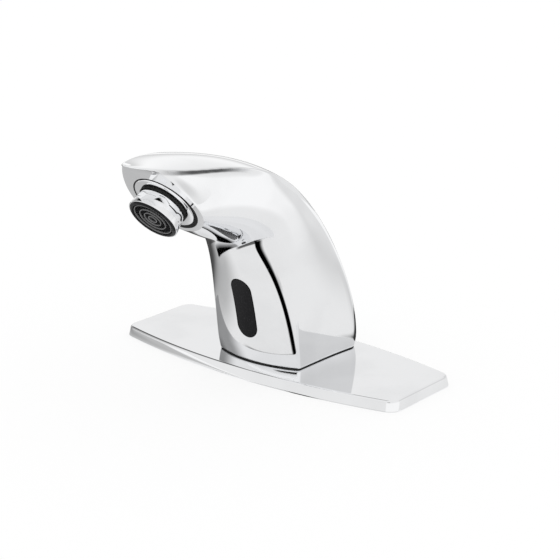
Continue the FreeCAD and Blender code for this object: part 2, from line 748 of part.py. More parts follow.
def make_tube_seals():
    cord = (S["seal_groove_dia"] - S["tube_dia"]) / 4 - S["ring_slack"]
    ring = (S["seal_groove_dia"] + S["tube_dia"]) / 4
    half = V["seal_groove_width"] / 2
    top = V["plate_height"] + V["seal_thick"] + V["block_thick"]
    low = Placement(Vector(0, V["inlet_y"], top + V["lower_seal_run"] + half), Rotation())
    torus("tube_seal_lower", ring, cord, low)
    torus("tube_seal_upper", ring, cord, waterway_frame(V["upper_seal_run"] + half))


# ---------------------------------------------------------------- sensor
def sensor_sketch(body, name, depth):
    """Sketch across the sensor's axis, depth millimetres behind the window's face."""
    return new_sketch(body, name, place=Placement(Vector(0, 0, -float(depth)), Rotation()))


def make_sensor_window():
    blank = new_body("WindowBlank")
    sketch = sensor_sketch(blank, "WindowOutline", V["window_thick"])
    stadium(sketch, S["window_width"], S["window_height"])
    pad(blank, sketch, 2 * S["window_thick"])
    blank.Placement = SENSOR
    window = doc.addObject("Part::Common", "sensor_window")
    window.Base = blank
    window.Tool = make_envelope("WindowEnvelope", OUTER_STATIONS[:STANDING])
    window.Label = "sensor_window"


def make_window_seal():
    blank = new_body("SealBlank")
    sketch = sensor_sketch(blank, "WindowSealOutline", V["window_thick"])
    gap = 2 * (S["window_gap"] - S["seal_slack"])
    stadium(sketch, S["window_width"] + gap, S["window_height"] + gap)
    stadium(sketch, S["window_width"] + 2 * S["seal_slack"],
            S["window_height"] + 2 * S["seal_slack"])
    pad(blank, sketch, 2 * S["window_thick"])
    blank.Placement = SENSOR
    seal = doc.addObject("Part::Common", "window_seal")
    seal.Base = blank
    seal.Tool = make_envelope("SealEnvelope", OUTER_STATIONS[:STANDING], V["seal_set_back"])
    seal.Label = "window_seal"


def make_sensor_housing():
    body = new_body("sensor_housing")
    front, rear = S["case_set_back"], S["case_set_back"] + S["case_depth"]
    box = sensor_sketch(body, "CaseBox", rear)
    rectangle(box, S["case_width"], S["case_height"])
    pad(body, box, S["case_depth"])
    snout = sensor_sketch(body, "CaseSnout", front)
    stadium(snout, S["window_width"], S["window_height"])
    pad(body, snout, S["case_set_back"] - S["window_thick"] - S["snout_gap"])
    room = sensor_sketch(body, "CaseRoom", rear)
    rectangle(room, S["case_width"] - 2 * S["case_wall"], S["case_height"] - 2 * S["case_wall"])
    pocket(body, room, S["case_depth"] - S["case_wall"])
    view = sensor_sketch(body, "CaseView", rear)
    stadium(view, S["window_width"] - 2 * S["case_wall"],
            S["window_height"] - 2 * S["case_wall"])
    pocket(body, view, S["case_depth"] + S["case_set_back"])
    body.Placement = SENSOR


def make_sensor_back_cover():
    body = new_body("sensor_back_cover")
    rear = S["case_set_back"] + S["case_depth"] + S["cover_thick"]
    plate = sensor_sketch(body, "CoverPlate", rear)
    rectangle(plate, S["case_width"], S["case_height"])
    circle(plate, 0, -S["case_height"] / 3, S["cable_bore_dia"] / 2)
    pad(body, plate, S["cover_thick"])
    body.Placement = SENSOR


def make_sensor_board():
    body = new_body("sensor_board")
    depth = S["case_set_back"] + S["case_depth"] - S["board_back"]
    board = sensor_sketch(body, "BoardOutline", depth)
    slack = 2 * (S["case_wall"] + S["socket_gap"])
    rectangle(board, S["case_width"] - slack, S["case_height"] - slack)
    pad(body, board, S["board_thick"])
    body.Placement = SENSOR


def board_front():
    """Height of the board's component side in the sensor's frame."""
    return -(V["case_set_back"] + V["case_depth"] - V["board_back"] - V["board_thick"])


def make_led(label, rise):
    place = SENSOR * Placement(Vector(0, rise, board_front()), Rotation())
    flange = cylinder(label + "Flange", S["led_dia"] / 2 + S["led_flange"], S["led_flange"], place)
    barrel = cylinder(label + "Barrel", S["led_dia"] / 2, S["led_length"] - S["led_dia"] / 2,
                      place)
    dome = doc.addObject("Part::Sphere", label + "Dome")
    set_size(dome, "Radius", S["led_dia"] / 2)
    dome.Placement = lifted(place, V["led_length"] - V["led_dia"] / 2)
    fused(label, [flange, barrel, dome])


def make_optic_shroud():
    body = new_body("optic_shroud")
    lift = -board_front() - V["led_flange"] - V["seal_slack"]
    outline = sensor_sketch(body, "ShroudOutline", lift)
    bore = S["led_dia"] / 2 + S["socket_gap"]
    stadium(outline, 2 * (bore + S["shroud_wall"]),
            S["led_spacing"] + 2 * (bore + S["shroud_wall"]))
    for side in (-1, 1):
        circle(outline, 0, side * S["led_spacing"] / 2, bore)
    pad(body, outline, S["shroud_length"])
    body.Placement = SENSOR


def make_sensor_bracket():
    body = new_body("sensor_bracket")
    rear = (S["case_set_back"] + S["case_depth"] + S["cover_thick"] + S["strap_thick"])
    strap = sensor_sketch(body, "Strap", rear)
    rectangle(strap, S["boss_spacing"] + S["boss_dia"], S["strap_width"])
    for side in (-1, 1):
        circle(strap, side * S["boss_spacing"] / 2, 0,
               S["sensor_screw_dia"] / 2 + S["socket_gap"])
    pad(body, strap, S["strap_thick"])
    body.Placement = SENSOR


# ---------------------------------------------------------------- aerator
def make_aerator_housing():
    sleeve = S["outlet_bore_dia"] / 2 - S["sleeve_clearance"]
    lip = S["rim_wall"] / 2
    body = turned_body("aerator_housing", [
        (S["sleeve_inner"], -S["sleeve_end"]), (sleeve, -S["sleeve_end"]),
        (sleeve, S["head_back"]), (S["head_back_radius"], S["head_back"]),
        (S["rim_radius"], S["rim_reach"] - lip), (S["rim_radius"] - lip, S["rim_reach"]),
        (S["rim_radius"] - S["rim_wall"], S["rim_reach"]),
        (S["rim_radius"] - S["rim_wall"], S["insert_seat"]),
        (S["sleeve_inner"], S["insert_seat"])])
    flats = new_sketch(body, "Flats",
                       place=Placement(Vector(0, 0, V["flat_start"]), Rotation()))
    circle(flats, 0, 0, S["rim_radius"] + 2)
    radius = V["flat_across"] / math.sqrt(3)
    corners = [Vector(radius * math.cos(angle), radius * math.sin(angle), 0)
               for angle in (math.radians(60 * step + V["flat_turn"]) for step in range(6))]
    flats.addGeometry([Part.LineSegment(first, second)
                       for first, second in zip(corners, corners[1:] + corners[:1])])
    pocket(body, flats, S["flat_end"] - S["flat_start"])
    body.Placement = OUTLET


def make_aerator_insert():
    """Black nozzle disc with stepped rings, and the cup behind it."""
    edge = S["rim_radius"] - S["rim_wall"] - S["running_gap"]
    seat = S["insert_seat"] + S["running_gap"]
    face = S["rim_reach"] - S["ring_deep"] / 2
    cup = S["sleeve_inner"] - S["running_gap"]
    bore = cup - S["cup_wall"]
    corners = [(cup, S["cup_back"]), (cup, seat), (edge, seat), (edge, face)]
    radius, height = edge, face
    while float(radius) > 2 * V["ring_step"]:
        radius = radius - S["ring_wide"]
        high = S["insert_reach"] - S["ring_deep"] * 0.35
        corners += [(radius, height), (radius, high)]
        radius = radius - S["ring_wide"]
        corners += [(radius, high), (radius, face)]
        height = face
    corners += [(0, face), (0, seat), (bore, seat), (bore, S["cup_back"])]
    body = turned_body("aerator_insert", corners)
    body.Placement = OUTLET


def make_aerator_parts():
    bore = S["sleeve_inner"] - S["running_gap"] - S["cup_wall"] - S["running_gap"]
    low, top = S["cup_back"] + S["regulator_set"], S["cup_back"] + S["regulator_end"]
    regulator = turned_body("aerator_regulator", [
        (S["regulator_bore"], low), (bore, low), (bore, top), (S["regulator_bore"], top)])
    regulator.Placement = OUTLET
    out = S["sleeve_inner"] - S["running_gap"]
    brim = S["cup_back"] - S["running_gap"]
    deep = S["cup_back"] - S["screen_depth"]
    skin = S["screen_skin"]
    screen = turned_body("aerator_screen", [
        (0, deep), (bore / 2, deep), (bore, brim - skin), (out, brim - skin), (out, brim),
        (bore - skin, brim), (bore / 2 - skin / 2, deep + skin), (0, deep + skin)])
    screen.Placement = OUTLET
    floor = S["collar_proud"] - S["outlet_bore_depth"]
    washer_low = floor + S["running_gap"]
    washer_top = -S["sleeve_end"] - S["running_gap"]
    washer = turned_body("aerator_washer", [
        (out, washer_low), (S["outlet_bore_dia"] / 2 - S["gasket_gap"], washer_low),
        (S["outlet_bore_dia"] / 2 - S["gasket_gap"], washer_top), (out, washer_top)])
    washer.Placement = OUTLET


NODES = ["tap_body", "deck_plate", "plate_gasket", "base_seal", "base_block", "base_screws",
         "cable_grommet", "water_tube", "tube_seal_lower", "tube_seal_upper",
         "sensor_window", "window_seal", "sensor_housing", "sensor_back_cover",
         "sensor_board", "ir_emitter", "ir_receiver", "optic_shroud", "sensor_bracket",
         "sensor_screws", "aerator_housing", "aerator_insert", "aerator_regulator",
         "aerator_screen", "aerator_washer"]

make_tap_body()
make_deck_plate()
make_plate_gasket()
make_base_seal()
make_base_block()
make_screws()
make_cable_grommet()
make_water_tube()
make_tube_seals()
make_sensor_window()
make_window_seal()
make_sensor_housing()
make_sensor_back_cover()
make_sensor_board()
make_led("ir_emitter", V["led_spacing"] / 2)
make_led("ir_receiver", -V["led_spacing"] / 2)
make_optic_shroud()
make_sensor_bracket()
make_aerator_housing()
make_aerator_insert()
make_aerator_parts()
doc.recompute()

faults = [item.Name for item in doc.Objects if "Invalid" in item.State or "Error" in item.State]
assert not faults, "objects that did not build: %s" % faults
os.makedirs("parts", exist_ok=True)
for name in NODES:
    node = doc.getObjectsByLabel(name)[0]
    assert not node.Shape.isNull() and node.Shape.isValid(), "bad shape: %s" % name
    node.Shape.exportStep("parts/%s.step" % name)
    box = node.Shape.BoundBox
    print("%-18s %8.1f mm3  x %.1f %.1f  y %.1f %.1f  z %.1f %.1f" % (
        name, node.Shape.Volume, box.XMin, box.XMax, box.YMin, box.YMax, box.ZMin, box.ZMax))
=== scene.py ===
# %% [markdown]
# # A sensor tap in chrome
#
# This file dresses a touch-free basin tap for a studio picture. The tap was drawn in CAD first
# and is loaded here as a fixed frame, so every piece below already has its true place. What is
# left for Blender is the part the eye judges: a skin smooth enough for chrome, the small parts
# around the outlet, the finish of each piece, and the room that a mirror needs to look like one.

import json
import math

import bmesh
import bpy
from mathutils import Matrix, Vector
from mathutils.bvhtree import BVHTree
from mathutils.interpolate import poly_3d_calc
from mathutils.kdtree import KDTree


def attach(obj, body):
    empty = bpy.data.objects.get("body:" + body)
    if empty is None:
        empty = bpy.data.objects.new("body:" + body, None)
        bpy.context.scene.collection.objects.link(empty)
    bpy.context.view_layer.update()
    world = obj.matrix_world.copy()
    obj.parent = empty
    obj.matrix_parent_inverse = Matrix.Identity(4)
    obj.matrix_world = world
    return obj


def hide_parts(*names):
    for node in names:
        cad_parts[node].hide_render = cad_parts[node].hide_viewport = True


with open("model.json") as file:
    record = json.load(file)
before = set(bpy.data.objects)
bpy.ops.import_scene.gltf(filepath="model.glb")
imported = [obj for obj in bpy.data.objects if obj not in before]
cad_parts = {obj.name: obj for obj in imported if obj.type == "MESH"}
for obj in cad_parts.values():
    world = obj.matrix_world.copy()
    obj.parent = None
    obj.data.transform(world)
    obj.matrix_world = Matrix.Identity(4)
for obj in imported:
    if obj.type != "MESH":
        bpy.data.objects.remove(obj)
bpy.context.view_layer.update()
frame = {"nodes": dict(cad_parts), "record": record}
nodes = frame["nodes"]
print("CAD nodes:", len(nodes))

# %% [markdown]
# ## Millimetres
#
# A workshop drawing gives its sizes in millimetres, and Blender counts in metres. The sizes
# could be written with all their zeros, which is where mistakes creep in, so one function turns
# millimetres into metres and every place in this file goes through it.

# %% Millimetres to metres
MM = 0.001


def point(x, y, z):
    return Vector((x, y, z)) * MM


print("10 mm is %.3f m" % point(10, 0, 0).x)

# %% [markdown]
# ## Camera
#
# A product picture of this kind is taken from a little above, with a long lens, so the plate's
# sides hardly converge. The camera stands 0.8 m away, 39 degrees to the right of the spout and
# 18 degrees up, and looks at a point half-way up the body. It could be aimed by a constraint,
# but a direction turned into angles leaves nothing live in the file.

# %% Camera
VIEW_TURN = math.radians(39.23)
VIEW_RISE = math.radians(17.884)
VIEW_DISTANCE = 799.976
LOOK_AT = point(-1.485, 0.0, 39.36)
FOCAL_PIXELS, FILM_WIDTH, PICTURE_WIDTH = 1687.552, 36.0, 560.0

toward_camera = Vector((math.sin(VIEW_TURN) * math.cos(VIEW_RISE),
                        -math.cos(VIEW_TURN) * math.cos(VIEW_RISE),
                        math.sin(VIEW_RISE)))
camera_data = bpy.data.cameras.new("camera")
camera_data.lens = FOCAL_PIXELS * FILM_WIDTH / PICTURE_WIDTH
camera = bpy.data.objects.new("camera", camera_data)
camera.location = LOOK_AT + toward_camera * VIEW_DISTANCE * MM
camera.rotation_euler = toward_camera.to_track_quat("Z", "Y").to_euler()
bpy.context.scene.collection.objects.link(camera)
bpy.context.scene.camera = camera
print("lens %.1f mm, camera at" % camera_data.lens, [round(c, 3) for c in camera.location])

# %% [markdown]
# ## The body's form
#
# The body is one casting whose cross-section changes all the way from the foot to the tip of
# the spout, so no primitive comes near it. It is a loft: cross-sections stand in a fan of
# planes between two curves, one up the back and over the shoulder to the tip, the other up the
# front and along the underside. A place along the fan is called its station: 0 at the foot, 1
# at the tip. Each curve is one Bezier line of six control points, given as (y, z), because a
# single line has no joint where the chrome could show a kink.

# %% The two curves
SHOULDER_LINE = [(24.9, 5.7), (30.2, 36.6), (1.1, 85.6),
                 (-25.8, 120.1), (-66.5, 105.9), (-103.5, 115.3)]
THROAT_LINE = [(-23.5, 5.7), (-28.1, 39.5), (-33.7, 84.1),
               (-58.5, 64.2), (-50.3, 74.3), (-76.1, 82.6)]


def bezier(controls, station):
    points = [Vector(control) for control in controls]
    while len(points) > 1:
        points = [a.lerp(b, station) for a, b in zip(points, points[1:])]
    return points[0]


print("middle of the shoulder line:", [round(c, 1) for c in bezier(SHOULDER_LINE, 0.5)])

# %% [markdown]
# ## Sizes along the body
#
# Each cross-section is a flat front with round corners, two sides and a domed back. From foot
# to tip the back narrows to the point of the leaf, the sides close round the outlet and the
# front goes from nearly flat to half round. The sizes could be typed in for each section, but
# a few soft steps between a start and an end keep every change smooth in a mirror.

# %% Sizes of a cross-section
CHEEK_STATION = 0.945


def smooth_step(value):
    """0 below 0, 1 above 1, and a soft S between."""
    value = min(max(value, 0.0), 1.0)
    return value * value * (3 - 2 * value)


def section_sizes(station):
    """Half-widths, dome and radii of the cross-section, in millimetres."""
    # The back's half-width: it narrows a little to the shoulder, then fast to the leaf's tip.
    closing = max(station - 0.60, 0) / 0.40
    shoulder = 26.3 - 3.2 * smooth_step(station / 0.42) - 21.3 * closing ** 3.6
    # The front's half-width: it narrows along the spout and ends in a round nose.
    side = 24.8 - 5.2 * smooth_step((station - 0.50) / 0.45)
    nose = max(station - CHEEK_STATION, 0) / (1 - CHEEK_STATION)
    side *= math.sqrt(1 - 0.99 * nose ** 2)
    # How far the flat front has turned into the round belly of the spout.
    belly = smooth_step((station - 0.04) / 0.46)
    return {
        "side": side,
        "shoulder": shoulder,
        "dome": 7.5 * (1 - station) ** 1.1 + 0.35,
        "front": side * (2.3 - 1.21 * belly),
        "corner": side * (0.10 + 0.59 * belly),
        "round": 0.8 + 2.7 * smooth_step((0.66 - station) / 0.22),
        "cove": 0.9 * smooth_step((station - 0.62) / 0.16) * smooth_step((0.985 - station) / 0.09),
    }


for station in (0.0, 0.5, 0.9):
    print("station", station, {k: round(v, 1) for k, v in section_sizes(station).items()})

# %% [markdown]
# ## Front and corner
#
# Only the right half of a cross-section is worked out, and the left is its mirror. It starts in
# the middle of the front, on a wide shallow arc, and turns into the side round a corner arc.
# The corner's centre is placed so that both arcs share a tangent where they meet.

# %% Front and corner of the cross-section
FRONT_STEPS, CORNER_STEPS = 12, 10
LEAST_INNER_RADIUS = 2.0


def front_and_corner(part, inset):
    """Points from the middle of the front to the side, and where the side starts."""
    front, side = part["front"] - inset, part["side"] - inset
    corner = max(part["corner"] - inset, LEAST_INNER_RADIUS) if inset else part["corner"]
    centre_x = side - corner
    centre_y = front - math.sqrt((front - corner) ** 2 - centre_x ** 2)
    turn = math.atan2(centre_y - front, centre_x)
    points = []
    for step in range(FRONT_STEPS + 1):
        angle = -math.pi / 2 + (turn + math.pi / 2) * step / FRONT_STEPS
        points.append(Vector((front * math.cos(angle), front + front * math.sin(angle))))
    for step in range(1, CORNER_STEPS + 1):
        angle = turn * (1 - step / CORNER_STEPS)
        points.append(Vector((centre_x + corner * math.cos(angle),
                              centre_y + corner * math.sin(angle))))
    return points, (side, centre_y)


print("points on the front:", len(front_and_corner(section_sizes(0.3), 0.0)[0]))

# %% [markdown]
# ## Side, edge and back
#
# The side is a short Bezier line that leaves the corner straight up and arrives at the back's
# edge at a lean. Further out that lean turns inward, which makes the cove under the leaf. The
# edge is rounded by a second line: softly over the shoulder, and with under a millimetre along
# the leaf, so that it reads as a crisp rim. The back is a shallow arc.

# %% Side and back of the cross-section
SIDE_STEPS, EDGE_STEPS, BACK_STEPS = 18, 8, 14
COVE_LEAN = 5.0


def side_and_back(part, start, depth, inset):
    """Points from where the side starts to the middle of the back."""
    side, low = start
    half = part["shoulder"] - inset
    edge = Vector((half, depth))
    rise = depth - low
    lean = (side - half) * 0.8 - COVE_LEAN * part["cove"]
    heading = (edge - Vector((half + lean, depth - 0.3 * rise))).normalized()
    radius = max(part["round"], LEAST_INNER_RADIUS) if inset else part["round"]
    side_start, side_end = Vector((side, low)), edge - heading * radius
    side_poles = [side_start, side_start + Vector((0, 0.4 * rise)),
                  side_end - heading * (0.3 - 0.1 * part["cove"]) * rise, side_end]
    dome = part["dome"]
    back = (half ** 2 + dome ** 2) / (2 * dome)
    swing = math.asin(half / back) - radius / back
    back_end = Vector((back * math.sin(swing), depth + dome - back * (1 - math.cos(swing))))
    backward = Vector((math.cos(swing), -math.sin(swing)))
    edge_poles = [side_end, side_end + heading * (0.6 * radius),
                  back_end + backward * (0.6 * radius), back_end]
    points = [bezier(side_poles, step / SIDE_STEPS) for step in range(1, SIDE_STEPS + 1)]
    points += [bezier(edge_poles, step / EDGE_STEPS) for step in range(1, EDGE_STEPS + 1)]
    for step in range(1, BACK_STEPS + 1):
        angle = swing * (1 - step / BACK_STEPS)
        points.append(Vector((back * math.sin(angle),
                              depth + dome - back * (1 - math.cos(angle)))))
    return points


print("points on a side and half a back:", SIDE_STEPS + EDGE_STEPS + BACK_STEPS)

# %% [markdown]
# ## The whole cross-section
#
# The two parts and their mirror image make a closed ring. It is laid into its plane of the fan,
# which leans from the throat line to the shoulder line. The same function gives the inside of
# the casting, by moving the outline in by the wall.

# %% One cross-section as a ring of points
def section_ring(station, inset=0.0, drop_by=0.0):
    """The cross-section as points of the tap, in metres; drop_by lowers it, in metres."""
    throat = bezier(THROAT_LINE, station)
    across = bezier(SHOULDER_LINE, station) - throat
    part = section_sizes(station)
    points, start = front_and_corner(part, inset)
    points += side_and_back(part, start, across.length - 2 * inset, inset)
    half = [p + Vector((0, inset)) for p in points]
    up = across.normalized()
    flat = half + [Vector((-p.x, p.y)) for p in reversed(half[1:-1])]
    return [point(p.x, throat.x + up.x * p.y, throat.y + up.y * p.y - drop_by) for p in flat]


print("points in a cross-section:", len(section_ring(0.3)))

# %% [markdown]
# ## From rings to a skin
#
# `bmesh.ops.create_circle` makes the first ring of vertices, and `extrude_edge_only` draws each
# next ring out of the last one, which is then laid on its cross-section. About eighty rings keep
# every face small, because a mirror shows the slightest kink. Extruding keeps every vertex in
# line with its neighbour on the next ring, where bridging finished loops may twist them. The
# finished object stays at the origin with its place in its mesh, as the CAD nodes do.

# %% Loft
def make_object(name, bm, smooth=True):
    """Turns a bmesh into an object and frees it."""
    mesh = bpy.data.meshes.new(name)
    bm.to_mesh(mesh)
    bm.free()
    for polygon in mesh.polygons:
        polygon.use_smooth = smooth
    obj = bpy.data.objects.new(name, mesh)
    bpy.context.scene.collection.objects.link(obj)
    return obj


def ring_edges(bm, ring):
    return [bm.edges.get(pair) for pair in zip(ring, ring[1:] + ring[:1])]


def stack_rings(bm, rings):
    """Extrudes a ring of vertices through a list of rings and gives the first and last."""
    ring = bmesh.ops.create_circle(bm, segments=len(rings[0]), radius=1.0)["verts"]
    first = ring
    for vertex, place in zip(ring, rings[0]):
        vertex.co = place
    for places in rings[1:]:
        made = set(bmesh.ops.extrude_edge_only(bm, edges=ring_edges(bm, ring))["geom"])
        ring = [next(e.other_vert(v) for e in v.link_edges if e.other_vert(v) in made)
                for v in ring]
        for vertex, place in zip(ring, places):
            vertex.co = place
    return first, ring


def loft(name, rings):
    """Closed solid through rings that all have the same number of points."""
    bm = bmesh.new()
    for ring in stack_rings(bm, rings):
        bmesh.ops.edgeloop_fill(bm, edges=ring_edges(bm, ring))
    bmesh.ops.recalc_face_normals(bm, faces=bm.faces)
    return make_object(name, bm)


STATIONS = sorted({round(step / 76, 5) for step in range(77)}
                  | {0.004, 0.009, 0.02, 0.03, 0.992, 0.997})
BASE_TUCK, TUCK_END = 0.5, 0.04


def body_skin(name):
    """The body without its cuts; the foot draws in a little where it meets the plate."""
    return loft(name, [section_ring(s, BASE_TUCK * max(1 - s / TUCK_END, 0.0) ** 1.6)
                       for s in STATIONS])


skin, whole = body_skin("tap_skin"), body_skin("whole_skin")
print("rings:", len(STATIONS), "faces:", len(skin.data.polygons))

# %% [markdown]
# ## Where the tools stand
#
# The outlet, the sensor and the waterway each have an axis of their own. A matrix for each is
# the jig that holds the work: a round or a slot is drawn upright about its own Z and then
# carried to its place. That keeps every profile below as simple as on a lathe drawing.

# %% Places of the outlet, the sensor and the waterway
OUTLET_TILT, SENSOR_LEAN, WATERWAY_SLOPE = 51.6, 98.0, 27.2


def jig(y, z, turn):
    """Place on the tap's middle plane, turned about X by an angle in degrees."""
    return Matrix.Translation(point(0, y, z)) @ Matrix.Rotation(math.radians(turn), 4, "X")


OUTLET = jig(-80.1, 94.7, 180 - OUTLET_TILT)
SENSOR = jig(-27.9, 33.2, SENSOR_LEAN)
WATERWAY = jig(8.0, 57.6, 90 - WATERWAY_SLOPE)
SIDEWAYS = Matrix(((0, 0, 1, 0), (1, 0, 0, 0), (0, 1, 0, 0), (0, 0, 0, 1)))
print("the outlet looks along", [round(c, 3) for c in OUTLET.col[2][:3]])

# %% [markdown]
# ## Cutters
#
# A cutter is a plain solid that is taken away from the casting. Round ones are spun from a half
# profile, the others are a flat outline pulled out into a prism. The exact boolean solver makes
# the cuts, because their edges cross the curved skin where no ring of the loft runs.

# %% Spin, prism and cut
def solid_of_turn(name, profile, place, segments=128):
    """Closed solid from a half profile of (radius, height), spun about the place's own Z."""
    bm = bmesh.new()
    made = [bm.verts.new(point(radius, 0, height)) for radius, height in profile]
    closed = profile[0][0] > 0
    edges = [bm.edges.new(pair) for pair in zip(made, made[1:] + (made[:1] if closed else []))]
    bmesh.ops.spin(bm, geom=made + edges, cent=(0, 0, 0), axis=(0, 0, 1),
                   angle=math.tau, steps=segments, use_merge=True)
    bmesh.ops.remove_doubles(bm, verts=bm.verts, dist=1e-7)
    bmesh.ops.recalc_face_normals(bm, faces=bm.faces)
    bmesh.ops.transform(bm, matrix=place, verts=bm.verts)
    return make_object(name, bm)


def prism(name, outline, place, low, high):
    """Closed solid from a flat outline, standing from low to high along the place's own Z."""
    bm = bmesh.new()
    face = bm.faces.new([bm.verts.new(point(x, y, low)) for x, y in outline])
    made = bmesh.ops.extrude_face_region(bm, geom=[face])["geom"]
    bmesh.ops.translate(bm, vec=point(0, 0, high - low),
                        verts=[item for item in made if isinstance(item, bmesh.types.BMVert)])
    bmesh.ops.recalc_face_normals(bm, faces=bm.faces)
    bmesh.ops.transform(bm, matrix=place, verts=bm.verts)
    return make_object(name, bm)


def carve(obj, cutter, operation="DIFFERENCE"):
    """Applies an exact boolean to the object's mesh."""
    cut = obj.modifiers.new("cut", "BOOLEAN")
    cut.operation = operation
    cut.solver = "EXACT"
    cut.object = cutter
    evaluated = obj.evaluated_get(bpy.context.evaluated_depsgraph_get())
    mesh = bpy.data.meshes.new_from_object(evaluated)
    obj.modifiers.clear()
    obj.data = mesh


# The mouth is 0.02 mm wider than the collar that will fill it, so their walls never coincide.
MOUTH, TUBE_WAY = 14.82, 5.2
mouth = solid_of_turn("mouth", [(0, -9), (MOUTH, -9), (MOUTH, 30), (0, 30)], OUTLET)
waterway = solid_of_turn("waterway", [(0, 14), (TUBE_WAY, 14), (TUBE_WAY, 91), (0, 91)],
                         WATERWAY, 48)
print("faces of the outlet's cutter:", len(mouth.data.polygons))

# %% [markdown]
# ## Under the leaf
#
# The spout's open end is cut by a straight tool that runs from side to side. Seen from the
# side, its outline follows the outlet's face, turns through a 5 mm corner and climbs out under
# the leaf, which leaves the leaf's tip standing forward over the aerator.

# %% The cutter under the leaf
OUTLET_MIDDLE = Vector((-80.1, 94.7))
FACE_DOWN, FACE_OUT = Vector((0.6211, -0.7837)), Vector((-0.7837, -0.6211))
HOOD_DEPTH, HOOD_RADIUS, HOOD_STEPS = 22.9, 5.0, 16
ROOF_OUT, ROOF_UP = 14.0, 17.3


def hood_outline():
    """Side view of what is cut away under the leaf, as (y, z) of the tap."""
    corner = OUTLET_MIDDLE - FACE_DOWN * HOOD_DEPTH
    roof = (FACE_OUT * ROOF_OUT - FACE_DOWN * ROOF_UP).normalized()
    half = roof.angle(FACE_DOWN) / 2
    trim = HOOD_RADIUS / math.tan(half)
    middle = corner + (roof + FACE_DOWN).normalized() * (HOOD_RADIUS / math.sin(half))
    first, last = corner + FACE_DOWN * trim, corner + roof * trim
    swing = (first - middle).angle_signed(last - middle)
    arc = []
    for step in range(HOOD_STEPS + 1):
        angle = -swing * step / HOOD_STEPS
        spoke = first - middle
        arc.append(middle + Vector((spoke.x * math.cos(angle) - spoke.y * math.sin(angle),
                                    spoke.x * math.sin(angle) + spoke.y * math.cos(angle))))
    # The rest of the outline only has to pass well clear of the body.
    far = last + roof * 30
    return arc + [far, far + FACE_OUT * 30 + FACE_DOWN * 20,
                  OUTLET_MIDDLE + FACE_OUT * 60 + FACE_DOWN * 40,
                  OUTLET_MIDDLE + FACE_DOWN * 40]


hood = prism("hood", hood_outline(), SIDEWAYS, -40, 40)
print("points in the cutter's outline:", len(hood_outline()))

# %% [markdown]
# ## The hollow casting
#
# A tap body is cast hollow, with a wall of about 4.5 mm. The inside is the same loft moved in
# by the wall, from just under the foot to below the shoulder. With the cut under the leaf, the
# outlet, the waterway and the window's slot that makes five cuts, one after another. Joining
# the cutters first would save time, but then a bad cut could not be told from the others.

# %% Cut the body
WALL, HOLLOW_END, HOLLOW_STEPS, BELOW_FOOT = 4.5, 0.46, 30, 0.002


def stadium(width, height, steps=24):
    """Outline of an upright slot with round ends."""
    radius, rise = width / 2, height / 2 - width / 2
    turns = [math.pi * step / steps for step in range(steps + 1)]
    top = [(radius * math.cos(a), rise + radius * math.sin(a)) for a in turns]
    low = [(-radius * math.cos(a), -rise - radius * math.sin(a)) for a in turns]
    return top + low


hollow = loft("hollow", [section_ring(0.0, WALL, BELOW_FOOT)]
              + [section_ring(HOLLOW_END * step / HOLLOW_STEPS, WALL)
                 for step in range(HOLLOW_STEPS + 1)])
window_hole = prism("window_hole", stadium(12, 31), SENSOR, -9, 5)
cutters = (hood, hollow, mouth, waterway, window_hole)
for cutter in cutters:
    carve(skin, cutter)
    print("body faces after", cutter.name, len(skin.data.polygons))

# %% [markdown]
# ## Normals after cutting
#
# A boolean leaves long, thin faces beside each cut, and their averaged normals would show in the
# chrome as smudges. So each corner of a face on the outer skin takes its normal from the whole
# skin as it was before the cuts, and a face made by a cut keeps its own flat normal.

# %% Give the cut body its true normals
ON_SKIN, SAME_WAY = 0.00004, 0.995


def surface_normals(obj):
    """For an object, a search tree and a function that gives its smooth normal at a place."""
    mesh = obj.data
    tree = BVHTree.FromPolygons([v.co for v in mesh.vertices],
                                [tuple(p.vertices) for p in mesh.polygons])

    def normal_at(place, index):
        corners = mesh.polygons[index].vertices
        weights = poly_3d_calc([mesh.vertices[i].co for i in corners], place)
        total = Vector()
        for corner, weight in zip(corners, weights):
            total += mesh.vertices[corner].normal * weight
        return total.normalized()
    return tree, normal_at


def true_normals(obj, outer):
    """Lends the object the smooth normals of an uncut surface wherever the two coincide."""
    tree, normal_at = surface_normals(outer)
    mesh = obj.data
    found = 0
    normals = []
    for polygon in mesh.polygons:
        _, flat, _, away = tree.find_nearest(polygon.center)
        on_skin = away < ON_SKIN and abs(flat.dot(polygon.normal)) > SAME_WAY
        found += on_skin
        for loop in polygon.loop_indices:
            if on_skin:
                place = mesh.vertices[mesh.loops[loop].vertex_index].co
                close, _, face, _ = tree.find_nearest(place)
                normals.append(normal_at(close, face))
            else:
                normals.append(polygon.normal.copy())
    mesh.normals_split_custom_set(normals)
    print(obj.name, "faces on the outer skin:", found, "of", len(mesh.polygons))


def drop(*objects):
    for obj in objects:
        bpy.data.objects.remove(obj, do_unlink=True)


true_normals(skin, whole)
drop(*cutters)
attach(skin, "tap")
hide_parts("tap_body")

# %% [markdown]
# ## The painted dark line in the cove
#
# Under the edge of the leaf runs a narrow cove, and light hardly reaches its bottom. That
# shade is painted into the chrome's colour as a dark line. A painted texture could say where, but
# the cove's line is already known from the cross-sections. So a number on each vertex tells the
# chrome how near it lies: 1 up to 0.6 mm from the line, fading to 0 at 1.5 mm and at both ends.

# %% Mark the cove's painted shade
COVE_POINT = FRONT_STEPS + CORNER_STEPS + SIDE_STEPS - 1
COVE_START, COVE_SPAN, COVE_STEPS = 0.66, 0.32, 60
COVE_REACH, COVE_FADE = 1.5 * MM, 0.9 * MM

